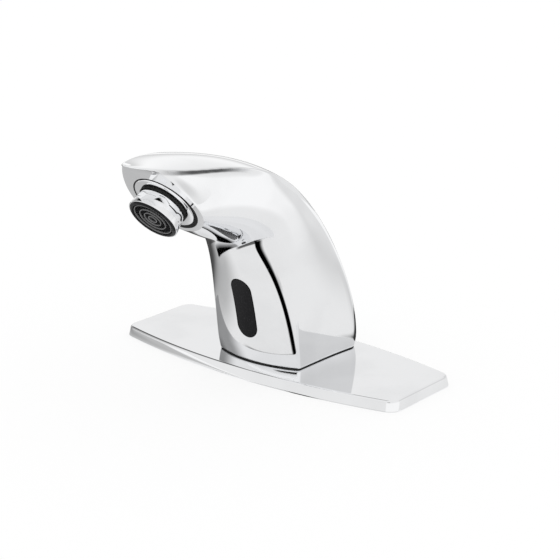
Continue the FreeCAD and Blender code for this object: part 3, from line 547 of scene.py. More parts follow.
line = []
for number in range(COVE_STEPS + 1):
    station = COVE_START + COVE_SPAN * number / COVE_STEPS
    strength = smooth_step((station - 0.69) / 0.12) * smooth_step((0.98 - station) / 0.10)
    ring = section_ring(station)
    line += [(ring[COVE_POINT], strength), (ring[-COVE_POINT], strength)]
cove_tree = KDTree(len(line))
for number, (place, _) in enumerate(line):
    cove_tree.insert(place, number)
cove_tree.balance()
# Painted shade: each vertex's number says how strongly the cove's shade is painted on it.
painted_shade = skin.data.attributes.new("painted_cove_shade", "FLOAT", "POINT")
for vertex, item in zip(skin.data.vertices, painted_shade.data):
    _, number, away = cove_tree.find(vertex.co)
    item.value = line[number][1] * smooth_step((COVE_REACH - away) / COVE_FADE)
print("vertices in the cove:", sum(item.value > 0.5 for item in painted_shade.data))

# %% [markdown]
# ## The outlet's collar
#
# Inside the spout's open end stands a round land that the aerator screws into. A profile is
# spun round the outlet's axis; its rims are broken by small bevels, which is where a machined
# edge catches the light.

# %% Collar
collar = solid_of_turn("outlet_collar", [
    (10.0, -9.0), (14.8, -9.0), (14.8, 0.25), (14.7, 0.48), (14.45, 0.6),
    (10.35, 0.6), (10.1, 0.5), (10.0, 0.25)], OUTLET)
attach(collar, "tap")
print("collar faces:", len(collar.data.polygons))

# %% [markdown]
# ## Dark crescent beside the collar
#
# A thin dark crescent, wider below than above, is painted shade: a black rubber piece put where
# the throat lies in shade beside the collar. It is a flat ring set a millimetre low, from which
# the bore is cut and of which only what lies inside the body is kept. Two booleans give its thin
# ends, which no extruded outline would meet so cleanly.

# %% Dark crescent of painted shade beside the collar
def sharpen(obj, degrees):
    """Keeps a sharp edge only where two faces really meet."""
    obj.data.set_sharp_from_angle(angle=math.radians(degrees))


# Painted shade: a black piece stands in for the shade between the collar and the throat.
shade_crescent = solid_of_turn("collar_shade_crescent", [(13.0, 0.01), (16.1, 0.01), (16.1, 0.16), (13.0, 0.16)],
                     OUTLET @ Matrix.Translation(point(0, -1.0, 0)))
collar_bore = solid_of_turn("collar_bore", [(0, -2), (14.83, -2), (14.83, 3), (0, 3)], OUTLET)
carve(shade_crescent, collar_bore)
carve(shade_crescent, whole, "INTERSECT")
drop(collar_bore, whole)
sharpen(shade_crescent, 40)
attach(shade_crescent, "tap")
print("seal faces:", len(shade_crescent.data.polygons))

# %% [markdown]
# ## The deck plate's outline
#
# The plate covers the unused holes of the basin. Its long sides bow out, its ends are straight
# and its corners are round. One quarter is worked out from arcs that share their tangents, and
# mirrored twice. An inset moves every arc in together, so that rings on the top, the edge and
# the underside have the same number of points and stay parallel.

# %% Plate outline
PLATE_LENGTH, PLATE_MIDDLE, PLATE_END = 163.0, 64.6, 43.4
PLATE_CORNER, LEAST_CORNER = 5.5, 0.9


def plate_outline(inset):
    """Right-front quarter points mirrored into a closed outline, (x, y) in millimetres."""
    half, sag = PLATE_LENGTH / 2, (PLATE_MIDDLE - PLATE_END) / 2
    bow = (half ** 2 + sag ** 2) / (2 * sag)
    centre = bow - PLATE_MIDDLE / 2
    half, bow = half - inset, bow - inset
    corner = max(PLATE_CORNER - inset, LEAST_CORNER)
    corner_x = half - corner
    corner_y = math.sqrt((bow - corner) ** 2 - corner_x ** 2) - centre
    away = math.atan2(corner_y + centre, corner_x)
    quarter = [Vector((half, corner_y * step / 10)) for step in range(10)]
    quarter += [Vector((corner_x + corner * math.cos(away * step / 12),
                        corner_y + corner * math.sin(away * step / 12))) for step in range(13)]
    for step in range(1, 48):
        angle = away + (math.pi / 2 - away) * step / 47
        quarter.append(Vector((bow * math.cos(angle), bow * math.sin(angle) - centre)))
    left = [Vector((-p.x, p.y)) for p in reversed(quarter[:-1])]
    top = quarter + left
    return top + [Vector((-p.x, -p.y)) for p in top[1:-1]]


def plate_ring(inset, height):
    return [point(p.x, p.y, height) for p in plate_outline(inset)]


def hole_ring(radius, height):
    """Ring round the tap hole whose points lie on the rays to the outline's points."""
    places = plate_outline(0.0)
    return [point(radius * p.normalized().x, radius * p.normalized().y, height) for p in places]


def part_way(first, last, share):
    return [a.lerp(b, share) for a, b in zip(first, last)]


print("points in the plate's outline:", len(plate_outline(0.0)))

# %% [markdown]
# ## The deck plate
#
# The plate is a shallow pressed pan. Rings of vertices run from the hole out over the soft top
# edge, down the flared side and back in underneath, and the last ring joins the first, which
# leaves the tap hole open. A bevel could round the edge, but a second ring close to each bend
# keeps the flat top truly flat, so that it mirrors the body without a ripple.

# %% Plate
HEIGHT, FLARE, SOFT, ROOF, SKIRT, HOLE = 5.1, 1.2, 0.9, 3.6, 2.0, 18.0


def closed_loft(name, rings):
    """Solid with a hole through it: the last ring is joined to the first."""
    bm = bmesh.new()
    stack_rings(bm, rings + rings[:1])
    bmesh.ops.remove_doubles(bm, verts=bm.verts, dist=1e-7)
    bmesh.ops.recalc_face_normals(bm, faces=bm.faces)
    return make_object(name, bm)


top_edge, hole_edge = plate_ring(SOFT + 0.5, HEIGHT), hole_ring(HOLE + 0.3, HEIGHT)
rings = [hole_ring(HOLE, HEIGHT), hole_edge]
rings += [part_way(hole_edge, top_edge, share) for share in (0.25, 0.5, 0.75)]
rings += [top_edge, plate_ring(SOFT + 0.1, HEIGHT)]
for step in range(8, -1, -1):
    angle = math.radians(90) * step / 8
    level = HEIGHT - SOFT + SOFT * math.sin(angle)
    rings.append(plate_ring(SOFT * (1 - math.cos(angle)) - FLARE * (1 - level / HEIGHT), level))
roof_edge = plate_ring(SKIRT - FLARE * (1 - ROOF / HEIGHT), ROOF)
rings += [plate_ring(-FLARE * 0.25, 3.9), plate_ring(-FLARE * 0.93, 0.35),
          plate_ring(-FLARE, 0.0), plate_ring(SKIRT - FLARE, 0.0), roof_edge]
rings += [part_way(roof_edge, hole_ring(HOLE, ROOF), share) for share in (0.25, 0.5, 0.75)]
rings.append(hole_ring(HOLE, ROOF))
plate = closed_loft("deck_plate_skin", rings)
sharpen(plate, 40)
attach(plate, "tap")
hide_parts("deck_plate")
print("plate faces:", len(plate.data.polygons))

# %% [markdown]
# ## Aerator ring
#
# The aerator is the one piece a plumber takes out. Its chrome ring is turned on a lathe, so it
# is spun from a half profile here: thread sleeve, a head that widens towards a thin bright rim.
# Six shallow spanner flats are milled into the back of the head. A hexagonal cutter with a round
# outside takes them away in one exact boolean, as the milling cutter would.

# %% Aerator ring
RIM, RIM_REACH, HEAD_BACK = 12.0, 9.6, 1.8
ACROSS_FLATS, CUTTER_RADIUS, SIDE_POINTS = 22.2, 16, 12


def hexagon_ring(name, across, low, high, turn):
    """Collar with a six-sided hole, used to mill the spanner flats."""
    corners = [across / math.sqrt(3) * Vector((math.cos(a), math.sin(a)))
               for a in (math.radians(60 * side + turn) for side in range(6))]
    inner = []
    for first, second in zip(corners, corners[1:] + corners[:1]):
        inner += [first.lerp(second, step / SIDE_POINTS) for step in range(SIDE_POINTS)]
    outer = [p.normalized() * CUTTER_RADIUS for p in inner]
    rings = [[OUTLET @ point(p.x, p.y, height) for p in edge]
             for edge, height in ((inner, low), (inner, high), (outer, high), (outer, low))]
    return closed_loft(name, rings)


aerator_ring = solid_of_turn("aerator_ring_skin", [
    (8.4, -7.0), (9.6, -7.0), (9.94, -6.6), (9.94, HEAD_BACK), (10.72, HEAD_BACK),
    (10.86, HEAD_BACK + 0.06), (10.92, HEAD_BACK + 0.2), (RIM - 0.03, RIM_REACH - 0.45),
    (RIM - 0.02, RIM_REACH - 0.24), (RIM - 0.12, RIM_REACH - 0.06), (RIM - 0.3, RIM_REACH),
    (RIM - 0.52, RIM_REACH - 0.03), (RIM - 0.65, RIM_REACH - 0.2), (RIM - 0.65, 6.6),
    (8.4, 6.6)], OUTLET, 192)
milling = hexagon_ring("milling", ACROSS_FLATS, HEAD_BACK - 0.5, 6.4, 20)
carve(aerator_ring, milling)
drop(milling)
sharpen(aerator_ring, 28)
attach(aerator_ring, "aerator_ring")
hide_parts("aerator_housing")
print("aerator ring faces:", len(aerator_ring.data.polygons))

# %% [markdown]
# ## Dark ring in the groove
#
# Between the collar and the ring's head sits a flat black rubber ring, put there as painted shade:
# it shows the groove's shade as a black band. It is spun with soft outer edges, since moulded
# rubber has no sharp ones, and it leaves with the ring when the aerator is unscrewed.

# %% Dark ring of painted shade in the groove
# Painted shade: a black ring stands in for the shade in the groove.
shade_ring = solid_of_turn("groove_shade_ring", [
    (10.0, 0.64), (11.35, 0.64), (11.55, 0.8), (11.55, 1.5), (11.35, 1.72), (10.0, 1.72)], OUTLET)
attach(shade_ring, "aerator_ring")
print("washer faces:", len(shade_ring.data.polygons))

# %% [markdown]
# ## Nozzle insert
#
# The black moulding inside the ring breaks the stream into soft bubbles. Its face has a rounded
# outer band and, set back behind it, a floor that carries the sieve. All of it is round, so one
# spun profile gives the cup, the band and the floor as a single closed piece.

# %% Nozzle insert
SIEVE_FLOOR, BAND = 9.0, 10.3
insert = solid_of_turn("aerator_insert_skin", [
    (0, 6.7), (7.3, 6.7), (7.3, -2.0), (8.3, -2.0), (8.3, 6.7), (11.25, 6.7), (11.25, 9.5),
    (11.18, 9.85), (10.98, 10.12), (10.7, BAND - 0.04), (10.45, BAND), (10.15, BAND - 0.05),
    (9.95, BAND - 0.2), (9.85, BAND - 0.5), (9.8, SIEVE_FLOOR), (0, SIEVE_FLOOR)], OUTLET, 96)
sharpen(insert, 40)
print("insert faces:", len(insert.data.polygons))

# %% [markdown]
# ## Sieve
#
# The sieve is four thin rings held by many small spokes. Each ring is a spun piece of its own,
# because it is coloured greyer than the moulding round it. A spoke is a small block from
# `create_cube`, turned into its place; a curve or an array would do it too, but a block has six
# faces, and there are nearly a hundred of them.

# %% Sieve rings and spokes
SIEVE_RINGS, SIEVE_EDGE, CREST = [9.2, 6.4, 4.1, 2.0], 9.8, 9.9
SPOKE_WIDTH, SPOKE_HEIGHT, SPOKES_PER_MM, FEWEST_SPOKES = 0.3, 0.4, 3.4, 8

sieve = [solid_of_turn("sieve_ring_%d" % (number + 1), [
    (radius + 0.22, SIEVE_FLOOR - 0.1), (radius + 0.18, CREST - 0.1), (radius + 0.08, CREST),
    (radius - 0.08, CREST), (radius - 0.18, CREST - 0.1), (radius - 0.22, SIEVE_FLOOR - 0.1)],
    OUTLET, 96) for number, radius in enumerate(SIEVE_RINGS)]


def sieve_spokes():
    """Small blocks between neighbouring rings, staggered from ring to ring."""
    bm = bmesh.new()
    edges = [SIEVE_EDGE] + SIEVE_RINGS
    for number, (far, near) in enumerate(zip(edges, SIEVE_RINGS)):
        count = max(int(far * SPOKES_PER_MM), FEWEST_SPOKES)
        length, middle = far - near, (far + near) / 2
        size = Matrix.Diagonal((length, SPOKE_WIDTH, SPOKE_HEIGHT, 1))
        for spoke in range(count):
            made = bmesh.ops.create_cube(bm, size=MM)["verts"]
            place = (Matrix.Rotation(math.tau * (spoke + 0.5 * (number % 2)) / count, 4, "Z")
                     @ Matrix.Translation(point(middle, 0, SIEVE_FLOOR + SPOKE_HEIGHT / 2)))
            bmesh.ops.transform(bm, matrix=OUTLET @ place @ size, verts=made)
    return make_object("sieve_spokes", bm, smooth=False)


spokes = sieve_spokes()
for piece in [insert, spokes] + sieve:
    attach(piece, "aerator_cartridge")
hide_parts("aerator_insert")
print("spokes:", len(spokes.data.polygons) // 6)

# %% [markdown]
# ## Sensor window
#
# The window is polished black plastic that lets only infrared through, and its face carries on
# the curve of the body. It is the part of the uncut skin that lies inside a slot-shaped prism,
# so the intersection is taken from the same loft, and its face gets the loft's own normals.

# %% Window
WINDOW_STATIONS_END = 0.6
front_rings = [section_ring(s) for s in STATIONS if s < WINDOW_STATIONS_END]
window = loft("sensor_window_skin", front_rings)
window_prism = prism("window_prism", stadium(11, 30), SENSOR, -3.4, 6)
outer_face = loft("outer_face", front_rings)
carve(window, window_prism, "INTERSECT")
true_normals(window, outer_face)
drop(window_prism, outer_face)
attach(window, "tap")
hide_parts("sensor_window")

# %% [markdown]
# ## Shader arithmetic
#
# A finish is a small sum of patterns. Built node by node, such a sum takes a page and hides what
# it does. So one small class wraps a shader socket, and `0.03 + 0.05 * wipes` adds its Math
# nodes by itself. Each operator has its reflected form, so that a number may come first.

# %% Sockets that can be added and multiplied
class Value:
    """An output socket that takes part in Python arithmetic."""

    def __init__(self, finish, socket):
        self.finish, self.socket = finish, socket

    def maths(self, operation, first, second):
        return self.finish.node("ShaderNodeMath", {"operation": operation}, {0: first, 1: second})

    def __add__(self, other):
        return self.maths("ADD", self, other)

    def __radd__(self, other):
        return self.maths("ADD", other, self)

    def __sub__(self, other):
        return self.maths("SUBTRACT", self, other)

    def __rsub__(self, other):
        return self.maths("SUBTRACT", other, self)

    def __mul__(self, other):
        return self.maths("MULTIPLY", self, other)

    def __rmul__(self, other):
        return self.maths("MULTIPLY", other, self)

    def sibling(self, output):
        """Another output of the same node."""
        return Value(self.finish, self.socket.node.outputs[output])


print("a value can be added, subtracted and multiplied")

# %% [markdown]
# ## One method for every node
#
# Every other node comes from one method that takes its type, its settings and the values or
# links of its sockets. The few patterns that the finishes share get a short name each. They all
# read Object coordinates, so a pattern keeps its size in metres on every piece.

# %% Node tree under construction
def opaque(color):
    """A colour of three numbers with its alpha; a linked colour is left as it is."""
    return (*color, 1) if isinstance(color, tuple) else color


class Finish:
    """A node tree under construction: a material's, or the world's."""

    def __init__(self, owner):
        owner.use_nodes = True
        self.tree = owner.node_tree

    def node(self, kind, settings=None, inputs=None, output=0):
        made = self.tree.nodes.new(kind)
        for name, setting in (settings or {}).items():
            setattr(made, name, setting)
        for name, value in (inputs or {}).items():
            self.feed(made.inputs[name], value)
        return Value(self, made.outputs[output])

    def feed(self, socket, value):
        if isinstance(value, Value):
            self.tree.links.new(value.socket, socket)
        else:
            socket.default_value = value

    def surface(self, shader):
        self.feed(self.tree.nodes["Material Output"].inputs["Surface"], shader)

    def place(self):
        return self.node("ShaderNodeTexCoord", output="Object")

    def noise(self, scale, detail=2.0, where=None):
        return self.node("ShaderNodeTexNoise", None,
                         {"Vector": where or self.place(), "Scale": scale, "Detail": detail})

    def stretched(self, x, y, z):
        """Place with each axis scaled, for a grain that runs one way."""
        return self.node("ShaderNodeMapping", None,
                         {"Vector": self.place(), "Scale": (x, y, z)})

    def between(self, low, high, value):
        """0 below low, 1 above high, with a soft step between."""
        return self.node("ShaderNodeMapRange", {"interpolation_type": "SMOOTHSTEP"},
                         {"Value": value, "From Min": low, "From Max": high})

    def mixed(self, share, first, second):
        """Colour between two colours; 6 and 7 are the Mix node's two colour sockets."""
        return self.node("ShaderNodeMix", {"data_type": "RGBA"},
                         {0: share, 6: opaque(first), 7: opaque(second)}, 2)


print("patterns:", [name for name in vars(Finish) if not name.startswith("_")])

# %% [markdown]
# ## From patterns to a material
#
# Numbers that are the same all over a piece are set on the shader's own sockets, and only what
# varies is linked, because an exporter bakes the links and would lose the rest. A finish gives
# its bump as a height and a depth in metres, and this is where its Bump node is made.

# %% Materials
def material(name, constants, varying):
    """Principled material: fixed socket values, and a function that gives the varying ones."""
    made = bpy.data.materials.new(name)
    finish = Finish(made)
    shader = finish.tree.nodes["Principled BSDF"]
    for socket, value in constants.items():
        shader.inputs[socket].default_value = value
    for socket, value in varying(finish).items():
        if socket == "Bump":
            height, depth = value
            value = finish.node("ShaderNodeBump", None,
                                {"Height": height, "Distance": depth, "Strength": 1.0})
            socket = "Normal"
        finish.feed(shader.inputs[socket], value)
    print(name, "nodes:", len(finish.tree.nodes))
    return made


# %% [markdown]
# ## Chrome
#
# Plated brass is a mirror with a faint blue-grey tint. A perfect mirror would look drawn. What
# makes it real is small: the polish leaves a waviness of a few microns, and cloth wipes leave
# areas that scatter a little more.

# %% Chrome
def chrome_finish(finish):
    wipes = finish.between(0.42, 0.7, finish.noise(38, 3))
    haze = finish.noise(900, 2)
    wave = finish.noise(55, 1)
    return {"Base Color": finish.mixed(wipes, (0.925, 0.93, 0.94), (0.885, 0.89, 0.90)),
            "Roughness": 0.018 + 0.03 * wipes + 0.012 * haze,
            "Bump": (wave, 0.00001)}


chrome = material("polished_chrome", {"Metallic": 1.0}, chrome_finish)

# %% [markdown]
# ## Chrome with painted shade in the cove
#
# The body has the same chrome, except at the bottom of the cove, where the number laid on its
# vertices paints shade into the colour and makes it rougher. One finish that starts from the
# other keeps the two alike everywhere else.

# %% The body's chrome
def body_finish(finish):
    varying = chrome_finish(finish)
    # Painted shade: where the cove's number is high, the colour goes nearly black.
    painted_shade = finish.node("ShaderNodeAttribute", {"attribute_name": "painted_cove_shade"}, None, "Fac")
    varying["Base Color"] = finish.mixed(painted_shade * 0.95, varying["Base Color"], (0.05, 0.05, 0.052))
    varying["Roughness"] = varying["Roughness"] + 0.25 * painted_shade
    return varying


body_chrome = material("body_chrome", {"Metallic": 1.0}, body_finish)

# %% [markdown]
# ## Rubber and moulded plastic
#
# A mould leaves a fine pebble on whatever comes out of it, and a little dust settles in the
# hollows. Rubber, the black insert, the greyer sieve rings and the white flow regulator differ
# only in colour, gloss and the grain of their mould, so one function makes all four.

# %% Moulded finishes
def moulded(color, dust, low, high, grain, depth):
    """Colour, dust in the hollows, least and most roughness, and the pebble's scale and depth."""
    def varying(finish):
        pebble = finish.noise(grain, 2)
        cloud = finish.between(0.4, 0.75, finish.noise(60, 3))
        return {"Base Color": finish.mixed(cloud * 0.5, color, dust),
                "Roughness": low + (high - low) * pebble,
                "Bump": (pebble, depth)}
    return varying


rubber = material("black_rubber", {"Specular IOR Level": 0.15}, moulded(
    (0.012, 0.012, 0.012), (0.035, 0.035, 0.034), 0.55, 0.8, 1600, 0.00003))
black_plastic = material("black_moulding", {"Specular IOR Level": 0.14}, moulded(
    (0.008, 0.008, 0.009), (0.03, 0.03, 0.03), 0.22, 0.4, 1300, 0.00002))
sieve_grey = material("sieve_moulding", {"Specular IOR Level": 0.5}, moulded(
    (0.16, 0.16, 0.162), (0.22, 0.22, 0.22), 0.35, 0.5, 1300, 0.00002))
acetal = material("white_acetal", {"Subsurface Weight": 0.1}, moulded(
    (0.84, 0.84, 0.81), (0.78, 0.77, 0.73), 0.3, 0.45, 900, 0.00002))

# %% [markdown]
# ## Foam
#
# The gasket under the plate is cut from foam with open cells. A Voronoi pattern gives each cell
# a wall and a hollow, and the same distance drives both the colour and the bump, so the deep
# places are darker: painted shade in the hollows of the cells.

# %% Foam
def foam_finish(finish):
    cells = finish.node("ShaderNodeTexVoronoi", None,
                        {"Vector": finish.place(), "Scale": 1400.0}, "Distance")
    # Painted shade: the colour is darker where the cells are deep.
    return {"Base Color": finish.mixed(finish.between(0.1, 0.6, cells),
                                       (0.02, 0.02, 0.02), (0.09, 0.09, 0.09)),
            "Bump": (cells, 0.0002)}


foam = material("black_foam", {"Roughness": 0.95}, foam_finish)

# %% [markdown]
# ## The window's black plastic
#
# The infrared window looks black because it stops visible light. It is smooth, with a low gloss,
# and what shows on it is what hands and water leave: broad smears and a few pale flecks.

# %% Smoked lens
def lens_finish(finish):
    smear = finish.between(0.45, 0.75, finish.noise(70, 3))
    fleck = finish.between(0.62, 0.7, finish.noise(1800, 1))
    return {"Base Color": finish.mixed(fleck, (0.005, 0.005, 0.006), (0.02, 0.018, 0.02)),
            "Roughness": 0.08 + 0.1 * smear}


smoked = material("smoked_lens", {"Specular IOR Level": 0.12}, lens_finish)

# %% [markdown]
# ## Turned brass
#
# The inlet block and the water tube are bare brass. A lathe leaves fine rings round its axis,
# and water leaves browner stains. The rings come from a Wave texture about Z and the stains from
# a soft noise, which also makes the metal duller where it lies.

# %% Brass
def lathe_finish(finish):
    rings = finish.node("ShaderNodeTexWave", {"wave_type": "RINGS", "rings_direction": "Z"},
                        {"Vector": finish.place(), "Scale": 700.0, "Distortion": 0.6,
                         "Detail": 1.0})
    stain = finish.between(0.45, 0.7, finish.noise(90, 4))
    return {"Base Color": finish.mixed(stain, (0.80, 0.62, 0.30), (0.62, 0.45, 0.20)),
            "Roughness": 0.22 + 0.2 * stain + 0.08 * rings,
            "Bump": (rings, 0.00002)}


brass = material("turned_brass", {"Metallic": 1.0}, lathe_finish)

# %% [markdown]
# ## Brushed steel
#
# The screws and the sensor's strap are steel with a grain that runs one way. A noise stretched
# along one axis gives such strokes, where a plain noise would look like cast metal.

# %% Steel
def brushed_finish(finish):
    strokes = finish.noise(40, 3, finish.stretched(2, 60, 60))
    return {"Base Color": finish.mixed(strokes, (0.60, 0.60, 0.61), (0.76, 0.76, 0.77)),
            "Roughness": 0.2 + 0.25 * strokes,
            "Bump": (strokes, 0.00002)}


steel = material("brushed_steel", {"Metallic": 1.0}, brushed_finish)

# %% [markdown]
# ## Circuit board
#
# Under its green lacquer the board has a glass weave and raised copper tracks. The mortar of a
# Brick texture makes straight tracks that meet at right angles, and a Wave texture the weave.

# %% Circuit board
def board_finish(finish):
    weave = finish.node("ShaderNodeTexWave", {"bands_direction": "X"},
                        {"Vector": finish.place(), "Scale": 420.0, "Distortion": 0.4})
    mortar = finish.node("ShaderNodeTexBrick", None,
                         {"Vector": finish.place(), "Scale": 260.0, "Mortar Size": 0.08,
                          "Color1": (0, 0, 0, 1), "Color2": (0, 0, 0, 1),
                          "Mortar": (1, 1, 1, 1)})
    tracks = finish.between(0.5, 0.56, mortar)
    return {"Base Color": finish.mixed(tracks, (0.02, 0.16, 0.06), (0.10, 0.36, 0.16)),
            "Roughness": 0.25 + 0.15 * weave,
            "Bump": (tracks + 0.3 * weave, 0.00003)}


board = material("circuit_board", {"Coat Weight": 0.3}, board_finish)

# %% [markdown]
# ## Lamp and receiver
#
# The two infrared parts are cast in tinted epoxy: bluish for the lamp, nearly black for the
# receiver. Clouds in the resin vary the tint, and a clear coat gives the wet gloss of a casting.

# %% Epoxy
def epoxy_finish(dark, light):
    def varying(finish):
        depth = finish.between(0.35, 0.7, finish.noise(500, 2))
        return {"Base Color": finish.mixed(depth, dark, light),
                "Roughness": 0.08 + 0.1 * depth}
    return varying


emitter = material("blue_epoxy", {"Coat Weight": 0.5},
                   epoxy_finish((0.30, 0.36, 0.62), (0.55, 0.62, 0.85)))
receiver = material("dark_epoxy", {"Coat Weight": 0.5},
                    epoxy_finish((0.02, 0.015, 0.03), (0.05, 0.035, 0.06)))

# %% [markdown]
# ## A finish for everything
#
# Each CAD node names the material slot it was drawn with, so one table turns slots into
# finishes and a loop reaches every node, also the ones inside the body. The pieces made above
# are listed beside their finish.

# %% Put a finish on every piece and every CAD node
FINISHES = {"chrome": chrome, "brass": brass, "steel": steel, "black_rubber": rubber,
            "black_foam": foam, "smoked_lens": smoked, "black_plastic": black_plastic,
            "board_green": board, "emitter_lens": emitter, "receiver_lens": receiver,
            "white_plastic": acetal}


def coat(mesh, finish):
    mesh.materials.clear()
    mesh.materials.append(finish)


for part in frame["record"]["subparts"]:
    coat(nodes[part["node"]].data, FINISHES[part["material_slot"]])
pieces = [(skin, body_chrome), (collar, chrome), (plate, chrome), (aerator_ring, chrome),
          (insert, black_plastic), (spokes, black_plastic), (window, smoked),
          (shade_ring, rubber), (shade_crescent, rubber)]
pieces += [(ring, sieve_grey) for ring in sieve]
for piece, finish in pieces:
    coat(piece.data, finish)
print("finishes:", len(FINISHES), "pieces:", len(pieces))

# %% [markdown]
# ## The floor
#
# The tap stands on a plain white floor. Turned up until it is white, a lamp would burn out the
# tap as well. So the floor's own paint is mixed with a plain white glow, only for the camera
# and for mirrors and glass, and it keeps a quarter of the paint, which holds the tap's shadow.

# %% Floor
FLOOR_SIZE, FLOOR_GLOW, GLOW_SHARE = 4.0, 1.02, 0.75


def grid(name, size):
    bm = bmesh.new()
    bmesh.ops.create_grid(bm, x_segments=1, y_segments=1, size=size)
    return make_object(name, bm, smooth=False)


floor = grid("floor", FLOOR_SIZE)
white_floor = bpy.data.materials.new("white_floor")
paint = Finish(white_floor)
floor_shader = paint.tree.nodes["Principled BSDF"]
floor_shader.inputs["Base Color"].default_value = (0.95, 0.95, 0.95, 1)
floor_shader.inputs["Roughness"].default_value = 0.9
floor_shader.inputs["Specular IOR Level"].default_value = 0.0
glow = paint.node("ShaderNodeEmission", None, {"Color": (1, 1, 1, 1), "Strength": FLOOR_GLOW})
camera_ray = paint.node("ShaderNodeLightPath", output="Is Camera Ray")
seen = camera_ray + camera_ray.sibling("Is Glossy Ray") + camera_ray.sibling("Is Transmission Ray")
paint.surface(paint.node("ShaderNodeMixShader", None, {
    0: seen * GLOW_SHARE, 1: Value(paint, floor_shader.outputs[0]), 2: glow}))
floor.data.materials.append(white_floor)
print("floor is %.0f m wide" % floor.dimensions.x)

# %% [markdown]
# ## Shapes for the studio
#
# A chrome tap is a picture of its room, and in a white room it vanishes. Photographers lay black
# cards beside such a piece, out of the picture, so that its outline and its corners draw dark
# lines. A card here is a soft-edged rectangle on the floor, and a band is a range of directions
# round the tap. Both are numbers from 0 to 1 that darken what the tap mirrors.

# %% Bands and cards
def azimuth_band(finish, where, start, end, soft):
    """1 between two directions seen from the tap, in degrees, with soft sides."""
    x = finish.node("ShaderNodeSeparateXYZ", None, {0: where}, "X")
    y = x.sibling("Y")
    middle, half = math.radians((start + end) / 2), math.radians((end - start) / 2)
    across = y * math.cos(middle) - x * math.sin(middle)
    along = x * math.cos(middle) + y * math.sin(middle)
    angle = finish.node("ShaderNodeMath", {"operation": "ARCTAN2"}, {0: across, 1: along})
    away = finish.node("ShaderNodeMath", {"operation": "ABSOLUTE"}, {0: angle})
    return 1 - finish.between(half - math.radians(soft) / 2, half + math.radians(soft) / 2, away)


def span(finish, first, last, value):
    """1 between two sides; each side is given as two places, in mm, that fade."""
    return (finish.between(first[0] * MM, first[1] * MM, value)
            * (1 - finish.between(last[0] * MM, last[1] * MM, value)))


def card(finish, where, left, right, near, far):
    """1 on a rectangle of the floor."""
    x = finish.node("ShaderNodeSeparateXYZ", None, {0: where}, "X")
    return span(finish, left, right, x) * span(finish, near, far, x.sibling("Y"))


# Each card: where its left, right, near and far sides fade, and how dark it is.
CARDS = [((-22, -10), (28, 34), (-39, -36.5), (-30, -28), 0.85),
         ((23.5, 25.5), (35, 46), (-90, -82), (-34, -28), 1.0),
         ((-14, 6), (56, 74), (-140, -120), (-82, -77), 1.0),
         ((-900, -800), (-125, -55), (-62, 0), (300, 400), 0.92),
         ((-900, -800), (-72, -34), (-150, -110), (-40, 0), 0.38),
         ((-60, -30), (40, 54), (36, 42), (95, 130), 0.95),
         ((-130, -110), (-25, -10), (33, 36), (56, 76), 0.6),
         ((-900, -700), (-250, -150), (220, 380), (3000, 3500), 0.35)]
print("cards on the floor:", len(CARDS))

# %% [markdown]
# ## The sheet with the cards
#
# Separate black planes would cut hard edges and throw shadows. So all the cards are drawn on one
# large sheet just above the floor, which only mirrors can see and which is clear between the
# cards. Their places were found by following the line of sight from the camera to the body and
# on to the floor. The first three draw the dark lines on the front and its right corner, the
# others the shades along the left side, behind the body and far out on the floor.

# %% Reflection sheet
SHEET_HEIGHT = 0.4
# How much the floor mirrored near the tap is darkened as painted shade, and where that fades.
NEAR_TAP_SHADE, NEAR_SHADE_FADE = 0.14, (0.16, 0.4)
RIGHT_BAND, RIGHT_GREY = (47, 74, 10), 0.2
REAR_BAND, REAR_GREY = (118, 140, 7), 0.75
REAR_START, REAR_END = (0.12, 0.17), (0.45, 0.6)

sheet = grid("reflection_sheet", FLOOR_SIZE)
for vertex in sheet.data.vertices:
    vertex.co.z = SHEET_HEIGHT * MM
dark_cards = bpy.data.materials.new("dark_cards")
paint = Finish(dark_cards)
where = paint.place()
away = paint.node("ShaderNodeVectorMath", {"operation": "LENGTH"}, {0: where}, "Value")
# Painted shade: within 0.16 m of the tap the mirrored floor is darker, fading out by 0.4 m.
light = 1 - NEAR_TAP_SHADE * (1 - paint.between(*NEAR_SHADE_FADE, away))
light = light * (1 - RIGHT_GREY * azimuth_band(paint, where, *RIGHT_BAND))
behind = paint.between(*REAR_START, away) * (1 - paint.between(*REAR_END, away))
light = light * (1 - REAR_GREY * behind * azimuth_band(paint, where, *REAR_BAND))
for *sides, depth in CARDS:
    light = light * (1 - card(paint, where, *sides) * depth)
black = paint.node("ShaderNodeEmission", None, {"Color": (0.0, 0.0, 0.0, 1), "Strength": 0.0})
clear = paint.node("ShaderNodeBsdfTransparent")
paint.surface(paint.node("ShaderNodeMixShader", None, {0: light, 1: black, 2: clear}))
sheet.data.materials.append(dark_cards)
for ray in ("camera", "diffuse", "shadow", "transmission"):
    setattr(sheet, "visible_" + ray, False)
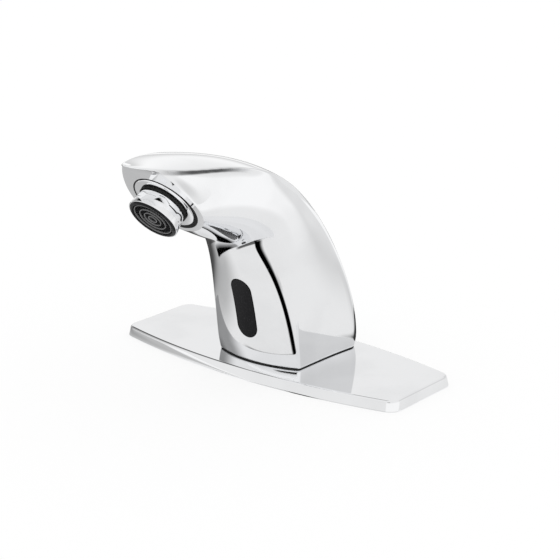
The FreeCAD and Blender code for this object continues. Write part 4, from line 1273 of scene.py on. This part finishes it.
print("nodes in the sheet:", len(paint.tree.nodes))

# %% [markdown]
# ## The sky
#
# The room above the floor is an even white world, which lights the tap softly from all round.
# Lamps would leave their own bright shapes in the chrome. For mirrors alone the world is
# dimmed in a few soft flags, as a photographer hangs black cloth, and a little overhead.

# %% Sky
def height_band(finish, where, low, high, soft):
    """1 between two heights over the horizon, in degrees, with soft ends."""
    up = finish.node("ShaderNodeSeparateXYZ", None, {0: where}, "Z")
    rise = finish.node("ShaderNodeMath", {"operation": "ARCSINE"}, {0: up})
    low, high, half = math.radians(low), math.radians(high), math.radians(soft) / 2
    return (finish.between(low - half, low + half, rise)
            * (1 - finish.between(high - half, high + half, rise)))


# Each flag: from and to which direction, softness, from and to which height, softness, darkness.
FLAGS = [(-77, -52, 4, -90, -2, 4, 1.0), (-77, -52, 4, 17, 26, 3, 1.0),
         (36, 112, 24, -90, 34, 14, 0.16),
         (140, 176, 16, 32, 80, 20, 0.6), (154, 204, 24, -90, 60, 10, 0.55),
         (110, 146, 8, -90, 3, 8, 0.32), (-182, -86, 6, -90, 14, 8, 0.14)]
SKY_GREY, SKY_BAND = 0.12, (12, 90, 14)

world = bpy.data.worlds.new("studio")
bpy.context.scene.world = world
sky = Finish(world)
looking = sky.node("ShaderNodeTexCoord", output="Generated")
sky_dark = SKY_GREY * height_band(sky, looking, *SKY_BAND)
for start, end, soft, low, high, fade, depth in FLAGS:
    sky_dark = sky_dark + (azimuth_band(sky, looking, start, end, soft)
                           * height_band(sky, looking, low, high, fade) * depth)
glossy = sky.node("ShaderNodeLightPath", output="Is Glossy Ray")
bright = sky.node("ShaderNodeMath", {"operation": "MAXIMUM"}, {0: 1 - sky_dark * glossy, 1: 0.0})
background = sky.tree.nodes["Background"]
sky.feed(background.inputs["Strength"], bright)
background.inputs["Color"].default_value = (1, 1, 1, 1)
print("flags in the sky:", len(FLAGS))

# %% [markdown] ## Close  The Standard view shows each colour as it was written, where a
# film-like view would grey the white floor.

# %% Close
bpy.context.scene.view_settings.view_transform = "Standard"
